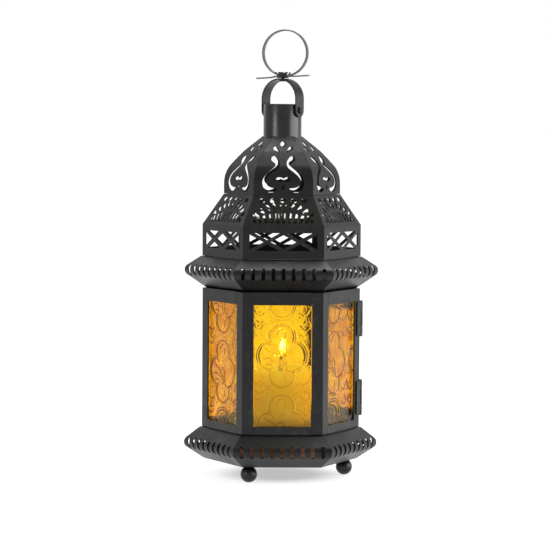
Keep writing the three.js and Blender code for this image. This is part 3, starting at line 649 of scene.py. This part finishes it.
def round_hole(x, y, radius, steps=14, stretch=1.0):
    return arc(x, y, radius, 0, 360, steps, stretch)[:-1]


def teardrop(tip, round_end, width, steps=7):
    """A drop from a sharp tip to a round end of the given width."""
    heading = math.degrees(math.atan2(round_end[1] - tip[1], round_end[0] - tip[0]))
    return [tip] + arc(*round_end, width / 2, heading + 90, heading - 90, steps)


def capsule(x, low, high, width, steps=6):
    half = width / 2
    return arc(x, high - half, half, 0, 180, steps) + arc(x, low + half, half, 180, 360, steps)


# ---------------- crown
def dome_section():
    low, high = node_box("dome_gore_front")
    haunch = arc(25.6, 204.5, 15, 0, 44, 11, 1.18)
    neck = [(31.2, 222.4), (26.9, 226.8), (20.3, 232.1), (13.7, high[2])]
    return Section([(DOME_FOOT_RADIUS, low[2])] + haunch + neck)


def gore_openings():
    """A pair of scrolls, a leaf over each, a moustache and a drop between them, a hole on top."""
    scroll = brush(
        [(-6.2, 221.8), (-4.2, 219.6), (-4.1, 216.9), (-7.0, 214.2), (-10.1, 211.6),
         (-12.4, 208.8), (-13.3, 205.8), (-12.2, 202.6), (-9.5, 200.6), (-6.9, 200.5), (-4.2, 201.2)],
        [4.4, 3.4, 2.7, 2.2, 2.1, 2.2, 2.6, 3.2, 3.8, 2.9, 0.8], 34,
    )
    leaf = teardrop((-1.9, 226.0), (-5.2, 228.9), 3.1)
    left_half = [(-5.2, 208.2), (-4.2, 209.1), (-2.6, 209.4), (-1.0, 209.0)]
    left_below = [(-0.9, 206.2), (-2.6, 206.0), (-4.4, 206.8)]
    moustache = left_half + [(0, 208.2)] + flipped(left_half)
    moustache += flipped(left_below) + [(0, 206.9)] + left_below
    top = round_hole(0, 231.9, 1.9, 14, 1.05)
    drop = teardrop((0, 204.6), (0, 201.8), 2.2)
    return [scroll, flipped(scroll), leaf, flipped(leaf), moustache, top, drop]


def build_dome():
    section = dome_section()
    holes = [[(x, section.height_to_s(z)) for x, z in loop] for loop in gore_openings()]
    flat, faces = triangulated(section.outline(trim=0.17), holes, 1.25)
    for k, side in enumerate(SIDE_NAMES):
        points, polygons = thick_sheet(flat, faces, *section.skins(k, PIERCED_SHEET))
        add_piece(f"dome_panel_{side}", points, polygons, SHEET_PAINT, f"dome_gore_{side}")


def shoulder_openings():
    """A row of round holes over a fan: short leaves above, upright slots along its foot."""
    holes = [round_hole(x * 7.2, 193.4, 2.2, 14, 0.75) for x in range(-2, 3)]
    holes.append([(-2.6, 190.6), (0, 186.4), (2.6, 190.6)])
    for side in (-1, 1):
        for tip, end, width in (
            ((3.2, 186.8), (6.3, 190.3), 2.9),
            ((7.4, 185.7), (11.2, 189.1), 3.0),
            ((11.7, 184.2), (15.6, 186.9), 2.9),
            ((15.6, 182.5), (19.8, 184.2), 2.7),
        ):
            holes.append(teardrop((side * tip[0], tip[1]), (side * end[0], end[1]), width))
    for i in range(-4, 5):
        x, top, lean = 3.9 * i, 185.4 - 0.2 * i * i, 0.42 * i
        holes.append([
            (x - 1.05, 178.2), (x + 1.05, 178.2), (x + 1.3 + lean, top - 0.6),
            (x + 0.6 + lean, top), (x - 0.6 + lean, top), (x - 1.3 + lean, top - 0.6),
        ])
    return holes + [round_hole(x, 179.6, 1.3, 10) for x in (-19.5, 19.5)]


def build_shoulder():
    low, high = node_box("pierced_shoulder")
    section = Section([(high[0] + 0.15, low[2] - 0.33), (DOME_FOOT_RADIUS, high[2])])
    holes = [[(x, section.height_to_s(z)) for x, z in loop] for loop in shoulder_openings()]
    six_sided("shoulder_panels", section, holes, 1.5, "pierced_shoulder")


def lattice_openings(low, high, half=23.2, pitch=22.4, bar=2.4):
    """Two crossed pairs of bars leave triangles, a diamond and two half diamonds."""
    middle = (low + high) / 2
    slope = math.atan2(high - low, pitch)
    upright, level = bar / 2 / math.cos(slope), bar / 2 / math.sin(slope)
    reach = pitch / 2 - level
    holes = []
    for x in (-pitch / 2, pitch / 2):
        holes.append([(x, middle + upright), (x + reach, high), (x - reach, high)])
        holes.append([(x, middle - upright), (x - reach, low), (x + reach, low)])
    holes.append([(-reach, middle), (0, low + upright), (reach, middle), (0, high - upright)])
    for side in (-1, 1):
        tip = side * (pitch / 2 + level)
        rise = (half - abs(tip)) * math.tan(slope)
        holes.append([(tip, middle), (side * half, middle - rise), (side * half, middle + rise)])
    return holes


def build_skirt():
    low, high = node_box("lattice_skirt")
    section = Section([(high[0], low[2]), (high[0], high[2])])
    holes = [[(x, z - low[2]) for x, z in loop] for loop in lattice_openings(LATTICE_LOW, LATTICE_HIGH)]
    six_sided("skirt_lattice", section, holes, 2.0, "lattice_skirt")


def build_rim(node, name, radii, nose):
    """A folded strip: a hem, a slope out to the slotted nose, a slope in, and a level lip."""
    low, high = node_box(node)
    foot, head = (radii[0], low[2] - RIM_LAP), (radii[1], high[2])
    nose_radius = high[0] - RIM_INSET
    corners = [foot, (nose_radius, nose - NOSE_HALF), (nose_radius, nose + NOSE_HALF), head]
    walls = rounded(corners, NOSE_ROUND, 7)
    hem = rounded([(radii[0] - RIM_HEM, low[2] - 0.33), *walls[:2]], 0.8, 3)
    lip = rounded([*walls[-2:], (radii[1] - RIM_LIP, high[2])], 0.8, 3)
    section = Section(hem[:-1] + walls[1:-1] + lip[1:])
    middle = section.height_to_s(nose)
    places = [(i - (RIM_SLOTS - 1) / 2) * SLOT_PITCH for i in range(RIM_SLOTS)]
    holes = [capsule(x, middle - SLOT_HALF, middle + SLOT_HALF, SLOT_WIDTH) for x in places]
    six_sided(name, section, holes, 1.5, node)


build_dome()
build_shoulder()
build_skirt()
build_rim("upper_rim", "upper_rim_strip", UPPER_RIM_RADII, node_box("upper_rim")[1][2] - UPPER_NOSE_DROP)
build_rim("lower_rim", "lower_rim_strip", LOWER_RIM_RADII, LOWER_NOSE)


# ---------------- body, door and hinges
for corner in CORNER_NAMES:
    softened_copy(f"corner_post_{corner}", f"post_{corner}", 0.3, SHEET_PAINT, segments=3, swell=0.13)
for node in ("top_band", "bottom_band"):
    softened_copy(node, f"{node}_folded", 0.2, SHEET_PAINT, swell=0.16)
softened_copy("base_plate", "base_floor", 0.2, SHEET_PAINT)
softened_copy("door_frame", "door_panel", 0.22, SHEET_PAINT, "door")
for level in ("lower", "upper"):
    softened_copy(f"hinge_fixed_leaf_{level}", f"hinge_leaf_fixed_{level}", 0.12, SMALL_SHEET_PAINT)
    softened_copy(f"hinge_door_leaf_{level}", f"hinge_leaf_door_{level}", 0.12, SMALL_SHEET_PAINT, "door")
    softened_copy(f"hinge_pin_{level}", f"hinge_pin_headed_{level}", 0.12, FITTING_PAINT)
softened_copy("latch_tongue", "latch_tongue_plate", 0.12, SMALL_SHEET_PAINT, "latch")
softened_copy("ring_collar", "ring_toothed_collar", 0.08, SMALL_SHEET_PAINT, "ring", 1)


# ---------------- glass
def nearest_motif(x, z, place):
    """Where each point lies from the centre of the nearest motif."""
    across = (x - place[0] + MOTIF_SPREAD / 2) % MOTIF_SPREAD - MOTIF_SPREAD / 2
    up = (z - place[1] + MOTIF_RISE / 2) % MOTIF_RISE - MOTIF_RISE / 2
    return across, up


def lobes(across, up):
    """Signed distance to the motif's four-lobed outline."""
    distance = np.full(across.shape, 1e3)
    for cx, cz, radius in ((-6.3, 0.0, 11.4), (6.3, 0.0, 11.4), (0.0, 13.1, 9.8), (0.0, -13.4, 9.8)):
        distance = np.minimum(distance, np.hypot(across - cx, up - cz) - radius)
    return distance


def ridge(distance, width):
    return np.exp(-((distance / width) ** 2))


def curve_distance(across, up, points):
    """Distance to a polyline."""
    best = np.full(across.shape, 1e3)
    for (x0, z0), (x1, z1) in zip(points, points[1:]):
        dx, dz = x1 - x0, z1 - z0
        t = np.clip(((across - x0) * dx + (up - z0) * dz) / (dx * dx + dz * dz), 0, 1)
        best = np.minimum(best, np.hypot(across - x0 - t * dx, up - z0 - t * dz))
    return best


# The vine inside each motif: a curled stem, leaf veins to its left, and a bud in each end lobe.
CURLED_STEM = [
    (-1.9, 0.6), (-1.4, 2.3), (0.2, 2.5), (1.4, 1.0), (2.7, -0.8),
    (1.4, -2.6), (0.9, -5.0), (0.6, -7.6), (-1.2, -8.6),
]
VINE = [
    spline(CURLED_STEM, 26),
    spline([(-1.4, -2.9), (-1.6, -4.2), (-1.3, -6.0)], 5),
    spline([(2.7, -3.9), (2.7, -6.6), (3.4, -9.4), (7.2, -10.7), (12.2, -9.4)], 16),
    spline([(1.9, 15.8), (2.2, 13.8), (1.8, 12.2)], 5),
    spline([(-3.6, 14.6), (-2.4, 17.6), (0.4, 18.8)], 8),
    spline([(1.7, -13.0), (1.9, -15.0), (1.6, -17.2)], 5),
    spline([(-3.4, -1.2), (-5.4, 1.6), (-8.4, 2.8), (-11.6, 5.6)], 12),
    spline([(-3.8, -3.6), (-6.4, -3.4), (-9.0, -1.4), (-12.2, -2.2)], 12),
    spline([(-5.6, 6.2), (-7.4, 8.0), (-10.4, 8.2)], 8),
    spline([(-6.2, -6.8), (-8.2, -5.6), (-10.8, -6.4)], 8),
]
# Between the motifs: leaves that bend towards the middle of each gap.
LEAVES = [
    spline([(-13.2, 21.0), (-15.6, 18.4), (-18.6, 19.4), (-19.4, 22.8)], 12),
    spline([(-12.4, 24.0), (-15.6, 22.4), (-18.8, 25.2)], 10),
    spline([(13.0, 20.6), (15.8, 17.8), (18.8, 19.6), (18.2, 23.2), (15.4, 22.6)], 14),
    spline([(12.0, -18.8), (15.4, -20.0), (18.4, -17.0), (20.2, -13.2)], 12),
    spline([(-12.4, -18.6), (-15.0, -20.6), (-18.8, -18.4), (-20.2, -14.0)], 12),
]


def relief(x, z, place, pebbles):
    """How far the pressed pattern stands out from the pane, and its colour: deeper tint with painted shade
    along the raised lines, and a painted pale highlight line round each motif.
    """
    across, up = nearest_motif(x, z, place)
    distance = lobes(across, up)
    within = 1 / (1 + np.exp((distance + 0.4) / 0.3))
    vine = np.min([curve_distance(across, up, points) for points in VINE], axis=0)
    leaves = np.min([curve_distance(across, up, points) for points in LEAVES], axis=0)
    wave = np.sin(x * 0.61 + 1.3 * np.sin(z * 0.23)) * np.sin(z * 0.47 + 1.1 * np.sin(x * 0.31))
    ripple = np.sin(x * 2.3 + 2.1 * np.sin(z * 0.9)) * np.sin(z * 2.7 + 1.7 * np.sin(x * 1.1))
    smooth = 1 - within * (0.45 + 0.5 / (1 + np.exp(-across / 1.2)))
    bumps = 0.8 * smooth * pebbles(x, z)
    height = 0.5 * ridge(distance, 0.5) + 0.42 * ridge(distance + 1.5, 0.55)
    height += 0.4 * ridge(vine, 0.42) + 0.32 * ridge(leaves, 0.45)
    height += 0.1 * wave + 0.035 * smooth * ripple + bumps
    # Painted light in the colour: a pale highlight line just outside each motif's outline, and dark shade
    # along the inner raised line, the vine and the leaves, over their deeper tint.
    colour = PLAIN_TINT - 0.3 * ridge(distance + 0.1, 0.6) + 0.85 * ridge(distance + 1.5, 0.6)
    colour += 0.75 * ridge(vine, 0.45) + 0.6 * ridge(leaves, 0.45) + 3.2 * bumps + 0.1 * smooth * ripple
    return height, np.clip(colour, 0, 1)


def pebble_field(seed):
    """Small rounded bumps scattered on a jittered grid, a few of them much taller."""
    source = np.random.RandomState(seed)
    shift = source.uniform(0.15, 0.85, (PEBBLE_GRID, PEBBLE_GRID, 2))
    chance = source.uniform(0, 1, (PEBBLE_GRID, PEBBLE_GRID))
    size = 0.02 + 0.1 * chance + 0.34 * chance ** 14

    def height(x, z):
        column, row = x / PEBBLE_PITCH + PEBBLE_GRID / 2, z / PEBBLE_PITCH
        total = np.zeros(x.shape)
        for di in (-1, 0, 1):
            for dj in (-1, 0, 1):
                i = (np.floor(column).astype(int) + di) % PEBBLE_GRID
                j = (np.floor(row).astype(int) + dj) % PEBBLE_GRID
                cx = np.floor(column) + di + shift[i, j, 0]
                cz = np.floor(row) + dj + shift[i, j, 1]
                far = np.hypot(column - cx, row - cz)
                total = np.maximum(total, size[i, j] * np.exp(-((far / 0.34) ** 2)))
        return total

    return height


def pane(name, node, k, body="housing"):
    """A pane of glass: a pressed face with a plain border, a flat back, and walls between."""
    low, high = node_box(node)
    half = PANE_WIDTH / 2
    face = BODY_RADIUS * FLAT - PANE_SETBACK
    pitch = 0.34
    columns = int(PANE_WIDTH / pitch) + 1
    rows = int((high[2] - low[2]) / pitch) + 1
    x, z = np.meshgrid(np.linspace(-half, half, columns), np.linspace(low[2], high[2], rows))
    edge = np.minimum(half - np.abs(x), np.minimum(z - low[2], high[2] - z))
    level, colour = relief(x, z, MOTIF_PLACES[SIDE_NAMES[k]], pebble_field(20 + k))
    border = PATTERN_DEPTH * np.clip((1.7 - edge) / 0.4, 0, 1)
    level = np.maximum(level * np.clip((edge - 1) / 1.2, 0, 1), border)
    out = face - PATTERN_DEPTH + np.clip(level, -0.2, PATTERN_DEPTH)
    vertices = [on_side(k, *point) for point in zip(x.flat, out.flat, z.flat)]
    cells = [j * columns + i for j in range(rows - 1) for i in range(columns - 1)]
    faces = [(a, a + 1, a + columns + 1, a + columns) for a in cells]
    rim = list(range(columns))
    rim += [(j + 1) * columns - 1 for j in range(1, rows)]
    rim += [(rows - 1) * columns + i for i in range(columns - 2, -1, -1)]
    rim += [j * columns for j in range(rows - 2, 0, -1)]
    first, count = len(vertices), len(rim)
    vertices += [on_side(k, x.flat[i], face - PANE_THICKNESS, z.flat[i]) for i in rim]
    faces += [(rim[i], first + i, first + (i + 1) % count, rim[(i + 1) % count]) for i in range(count)]
    faces.append(tuple(first + i for i in range(count)))
    # The side panes take the darker copy of the glass as painted shade.
    finish = GLASS if SIDE_NAMES[k] in ("front", "rear") else SHADED_SIDE_GLASS
    add_piece(name, vertices, faces, finish, node, body, 60, list(colour.flat) + [PLAIN_TINT] * count)


for k, side in enumerate(SIDE_NAMES):
    if k == DOOR_SIDE:
        pane("pressed_glass_door", "door_glass", k, "door")
    else:
        pane(f"pressed_glass_{side}", f"glass_{side}", k)


# ---------------- turned and bent pieces
def build_feet():
    ball = [(0, 0.05), (1.2, 0.02)] + arc(0, 5.6, 5.75, -75, 62, 18)
    ball += [(3.0, 10.75), (3.1, 11.1), (1.95, 11.1), (1.95, 9.0), (0, 8.8)]
    screw = [
        (0, 4.6), (1.5, 4.6), (1.6, 5.0), (1.6, 12.6),
        (3.2, 12.65), (3.1, 13.1), (2.2, 13.9), (1.1, 14.3), (0, 14.4),
    ]
    for name, angle in (("left", -120), ("right", 0), ("rear", 120)):
        turn = Matrix.Rotation(math.radians(angle), 4, "Z")
        place = turn @ Matrix.Translation((FOOT_CIRCLE, 0, 0))
        turned(f"foot_ball_{name}", ball, FITTING_PAINT, f"ball_foot_{name}", place=place)
        fixing = f"foot_screw_domed_{name}"
        turned(fixing, screw, FITTING_PAINT, f"foot_screw_{name}", steps=32, place=place)


def build_chimney():
    """A tube with a closed top, its foot let down inside the top of the dome."""
    low, high = node_box("chimney")
    radius, bottom, top = CHIMNEY_RADIUS, low[2] - 1.6, high[2]
    profile = [
        (radius - 1.0, bottom), (radius - 0.7, bottom - 0.3), (radius - 0.2, bottom - 0.3),
        (radius, bottom), (radius, top - 0.7), (radius - 0.2, top - 0.25), (radius - 0.7, top), (0, top),
        (0, top - 1.0), (radius - 1.4, top - 1.0), (radius - 1.0, top - 1.4),
    ]
    turned("chimney_tube", profile, TUBE_PAINT, "chimney", steps=64)


def build_strap():
    """The bail's strap: a bent band with round ends, up one side, over the crown and down."""
    spring = BAIL_CROWN - BAIL_RADIUS
    half = BAIL_WIDTH / 2
    side = [(BAIL_RADIUS, PIVOT_HEIGHT - half + 10 * i / 12) for i in range(12)]
    side.append((BAIL_RADIUS, PIVOT_HEIGHT + 5.3))
    path = side + arc(0, spring, BAIL_RADIUS, 0, 180, 40) + flipped(side)
    along = np.concatenate([[0], np.cumsum([math.dist(a, b) for a, b in zip(path, path[1:])])])
    length = float(along[-1])
    outline = arc(0, half, half, 180, 360, 16) + arc(0, length - half, half, 0, 180, 16)
    rivets = [round_hole(0, half, 1.6), round_hole(0, length - half, 1.6)]
    flat, faces = triangulated(outline, rivets + [round_hole(0, length / 2, RIVET_HOLE)], 1.1)
    path_x, path_z = np.array(path).T

    def where(s):
        return np.interp(s, along, path_x), np.interp(s, along, path_z)

    def point(y, s, depth):
        x, z = where(s)
        ahead, behind = where(min(s + 0.2, length)), where(max(s - 0.2, 0))
        tangent_x, tangent_z = ahead[0] - behind[0], ahead[1] - behind[1]
        size = math.hypot(tangent_x, tangent_z)
        x, z = x - depth * tangent_z / size, z + depth * tangent_x / size
        return (
            x * math.cos(BAIL_TURN) - y * math.sin(BAIL_TURN),
            x * math.sin(BAIL_TURN) + y * math.cos(BAIL_TURN),
            z,
        )

    vertices, polygons = thick_sheet(
        flat, faces, lambda y, s: point(y, s, 0.0), lambda y, s: point(y, s, SHEET)
    )
    strap = add_piece("bail_strap_bent", vertices, polygons, SHEET_PAINT, "bail_strap", "bail", 40)
    soften(strap, 0.16, 2, 50)


def build_bail_rivets():
    """Domed rivets through the strap's ends and the chimney's wall."""
    profile = [(0, 11.1), (2.0, 11.1), (2.2, 11.3), (2.2, 11.8), (1.3, 11.85), (1.3, 14.75), (2.4, 14.75)]
    profile += arc(0, 14.8, 2.5, 0, 80, 8, 0.66) + [(0, 16.45)]
    for name, turn in (("right", 0.0), ("left", math.pi)):
        place = (
            Matrix.Translation((0, 0, PIVOT_HEIGHT))
            @ Matrix.Rotation(BAIL_TURN + turn, 4, "Z")
            @ Matrix.Rotation(math.pi / 2, 4, "Y")
        )
        rivet = f"bail_rivet_domed_{name}"
        turned(rivet, profile, FITTING_PAINT, f"bail_rivet_{name}", steps=36, place=place)


def build_ring():
    """The ring: a strip rolled into a loop, on a flat bar with two straight wings."""
    half, inner = RING_WIDTH / 2, RING_RADIUS - SHEET
    strip = [
        (RING_RADIUS, -half + 0.25), (RING_RADIUS, half - 0.25), (RING_RADIUS - 0.2, half),
        (inner + 0.2, half), (inner, half - 0.25), (inner, -half + 0.25), (inner + 0.2, -half),
        (RING_RADIUS - 0.2, -half),
    ]
    loop, faces = revolved(strip, 96)
    vertices = [(RING_OFFSET + x, z, RING_TOP - RING_RADIUS + y) for x, y, z in loop]
    end, cut = BAR_LENGTH / 2, 0.6
    outline = [(end, -half + cut), (end, half - cut), (end - cut, half), (-end + cut, half)]
    outline += [(-x, -y) for x, y in outline]
    flat, cells = triangulated(outline, [round_hole(0, 0, RIVET_HOLE)], 1.3)

    def bar_height(x):
        """The wings have been pulled a little out of level."""
        return BAR_BOTTOM + (0.055 * x - 0.45) * min(1.0, max(0.0, abs(x) - 2.5) / 6) ** 1.5

    bar, bar_faces = thick_sheet(
        flat, cells, lambda x, y: (x, y, bar_height(x) + SHEET), lambda x, y: (x, y, bar_height(x))
    )
    faces += [tuple(len(vertices) + i for i in face) for face in bar_faces]
    cos, sin = math.cos(RING_TURN), math.sin(RING_TURN)
    vertices = [(x * cos - y * sin, x * sin + y * cos, z) for x, y, z in vertices + bar]
    add_piece("hanging_ring_loop", vertices, faces, RING_PAINT, "hanging_ring", "ring", 40)
    rivet = [(0, 275.1), (2.2, 275.2), (2.5, 275.6), (2.5, 276.1), (1.2, 276.1), (1.2, 280.4)]
    rivet += arc(0, 280.45, 2.2, 0, 75, 5, 1.2 / 2.2) + [(0, 281.65)]
    turned("ring_rivet_domed", rivet, FITTING_PAINT, "ring_rivet", "ring", 28)


def build_knob():
    angle = -math.pi / 2 + DOOR_SIDE * TURN
    spot = on_side(DOOR_SIDE, BODY_RADIUS / 2 - LATCH_SETBACK, 0, LATCH_HEIGHT)
    place = Matrix.Translation(spot) @ Matrix.Rotation(angle, 4, "Z") @ Matrix.Rotation(math.pi / 2, 4, "Y")
    face = BODY_RADIUS * FLAT
    profile = [(0, face - 2.4), (0.9, face - 2.4), (0.9, face + 0.3)]
    profile += [(1.9, face + 0.35), (2.0, face + 0.9), (1.4, face + 1.5)]
    profile += arc(0, face + 4.3, 3.0, -60, 80, 14, 0.9) + [(0, face + 7)]
    turned("latch_knob_ball", profile, FITTING_PAINT, "latch_knob", "latch", 32, place=place)


def build_cup():
    low, high = node_box("candle_cup")
    floor, rim, outer = low[2], high[2], high[0]
    profile = [
        (0, floor), (outer - 1.0, floor), (outer - 0.2, floor + 0.5), (outer, floor + 1.2),
        (outer, rim - 0.5), (outer - 0.2, rim - 0.1), (outer - 0.45, rim),
        (outer - 0.75, rim - 0.15), (outer - 0.9, rim - 0.6),
        (outer - 0.9, floor + 1.6), (outer - 1.5, floor + 0.9), (0, floor + 0.9),
    ]
    turned("candle_cup_pressed", profile, CUP_PAINT, "candle_cup", steps=64)


def build_wax():
    """A pillar with worn edges, a shallow pool and a hole for its wick."""
    low, high = node_box("pillar_candle")
    radius, base, top = high[0], low[2], high[2]
    profile = [
        (0, base), (radius - 1.2, base), (radius - 0.1, base + 1.1), (radius, base + 2),
        (radius, top - 2.0), (radius - 0.3, top - 0.7), (radius - 1.2, top), (radius - 2.6, top - 0.2),
        (radius - 5, top - 1.6), (radius * 0.45, top - 2.2), (1.1, top - 2.3),
        (1.1, top - 8.8), (0, top - 8.8),
    ]
    turned("candle_pillar", profile, WAX, "pillar_candle", steps=64, sharp=40)


def build_wick():
    """Three twisted strands that lean over and thin out towards the top."""
    low, high = node_box("candle_wick")
    steps, ply, twist = 30, 10, 9
    vertices, faces = [], []
    for i in range(steps + 1):
        t = i / steps
        lean = max(0.0, t - 0.6) ** 2
        thinning = 1 - 3.3 * max(0, t - 0.9)
        z = low[2] + (high[2] - low[2]) * t
        for j in range(ply):
            angle = 2 * math.pi * j / ply + t * twist
            r = (0.66 + 0.12 * math.cos(3 * angle)) * thinning
            vertices.append((lean + r * math.cos(angle), r * math.sin(angle), z))
    for i in range(steps):
        here, there = i * ply, (i + 1) * ply
        for j in range(ply):
            k = (j + 1) % ply
            faces.append((here + j, here + k, there + k, there + j))
    faces += [tuple(range(ply))[::-1], tuple(steps * ply + j for j in range(ply))]
    add_piece("candle_wick_braided", vertices, faces, WICK, "candle_wick", sharp=60)


def build_flame():
    """A slim drop of light round the wick's tip, leaning a little to one side."""
    base = node_box("candle_wick")[1][2] - 1.2
    top = base + FLAME_HEIGHT
    shape = [(0, 0), (0.12, 0.7), (0.28, 1.5), (0.42, 2.3), (0.55, 2.5)]
    shape += [(0.68, 2.1), (0.82, 1.2), (0.93, 0.5), (1, 0)]
    drop = [(r * FLAME_SLIMNESS, base + t * FLAME_HEIGHT) for t, r in shape]
    profile = [(0.0, base)] + rounded(drop, 2.0, 3)[1:-1] + [(0.0, top)]
    lean = Matrix(((1, 0, FLAME_LEAN, -FLAME_LEAN * base), (0, 1, 0, 0), (0, 0, 1, 0), (0, 0, 0, 1)))
    finish = (flame_light("flame_finish", base * MM, top * MM), "wick")
    turned("candle_flame", profile, finish, steps=32, sharp=60, place=lean)


build_feet()
build_chimney()
build_strap()
build_bail_rivets()
build_ring()
build_knob()
build_cup()
build_wax()
build_wick()
build_flame()


# ---------------- stage, lights and camera
def build_floor():
    """A pale glowing floor with a painted shadow under the lantern; further out it is darker away from the
    backdrop.
    """
    material, tree, place = new_material("pale_floor")
    heading = measured(tree, place, "NORMALIZE", "Vector")
    backdrop = [(0.35, grey(ROOM - 0.16)), (0.85, grey(FLOOR_GLOW))]
    far = ramp(tree, coordinate(tree, heading, "Y"), backdrop)
    radius = measured(tree, place, "LENGTH", "Value")
    reach = spread(tree, radius, 0.9, 1.9, kind="SMOOTHSTEP")
    sweep = mix_colour(tree, reach, grey(FLOOR_GLOW), far)
    # Painted shadow: the floor's glow drops to 0.55 close under the lantern.
    shade = spread(tree, radius, 0.02, 0.052, 0.55, 1.0, "SMOOTHSTEP")
    surfaced(material, {
        "Base Color": ramp(tree, noise(tree, place, 3, 2), [(0.3, grey(0.31)), (0.7, grey(0.34))]),
        "Roughness": 0.8,
        "Specular IOR Level": 0.1,
        "Emission Color": (1, 1, 1, 1),
        "Emission Strength": product(tree, sweep, shade),
    })
    mesh = bpy.data.meshes.new("floor")
    work = bmesh.new()
    bmesh.ops.create_grid(work, x_segments=8, y_segments=8, size=FLOOR_HALF)
    work.to_mesh(mesh)
    work.free()
    mesh.materials.append(material)
    floor = bpy.data.objects.new("floor", mesh)
    bpy.context.scene.collection.objects.link(floor)


def area_light(name, position, target, width, height, radiance):
    """A softbox of the given radiance, turned towards its target."""
    data = bpy.data.lights.new(name, "AREA")
    data.shape = "RECTANGLE"
    data.size, data.size_y = width, height
    data.energy = radiance * math.pi * width * height
    light = bpy.data.objects.new(name, data)
    light.location = position
    light.rotation_euler = (Vector(target) - Vector(position)).to_track_quat("-Z", "Y").to_euler()
    bpy.context.scene.collection.objects.link(light)


def around(azimuth, distance, height):
    """A place at an angle anticlockwise from the front, seen from above."""
    angle = math.radians(azimuth)
    return (math.sin(angle) * distance, -math.cos(angle) * distance, height)


def build_lights():
    """A white backdrop behind the lantern, a softbox on each side and one overhead."""
    world = bpy.data.worlds.new("studio")
    world.use_nodes = True
    tree = world.node_tree
    direction = tree.nodes.new("ShaderNodeTexCoord").outputs["Generated"]
    backdrop = ramp(tree, coordinate(tree, direction, "Y"), [(0.35, grey(ROOM)), (0.85, grey(1.0))])
    tree.links.new(backdrop, tree.nodes["Background"].inputs["Color"])
    bpy.context.scene.world = world
    bpy.context.scene.view_settings.view_transform = "Standard"
    area_light("softbox_left", around(-48, 1.3, 0.3), (0, 0, 0.22), 0.45, 0.7, 4.5)
    area_light("softbox_right", around(78, 1.3, 0.32), (0, 0, 0.22), 1.5, 0.7, 4.3)
    area_light("overhead", (0.25, 0.22, 1.3), (0, 0, 0.25), 0.9, 0.9, 5.2)


def build_camera():
    """The camera stands 1.65 m away, a little left of square on, level with the chimney's foot."""
    data = bpy.data.cameras.new("camera")
    data.lens = 154.7
    data.sensor_width = 36
    camera = bpy.data.objects.new("camera", data)
    camera.location = around(-1.5, 1.65, 0.2435)
    target = Vector((-0.0045, 0, 0.1402))
    facing = (target - camera.location).to_track_quat("-Z", "Y").to_matrix().to_4x4()
    roll = Matrix.Rotation(math.radians(0.4), 4, "Z")
    camera.matrix_world = Matrix.Translation(camera.location) @ facing @ roll
    bpy.context.scene.collection.objects.link(camera)
    bpy.context.scene.camera = camera


build_floor()
build_lights()
build_camera()
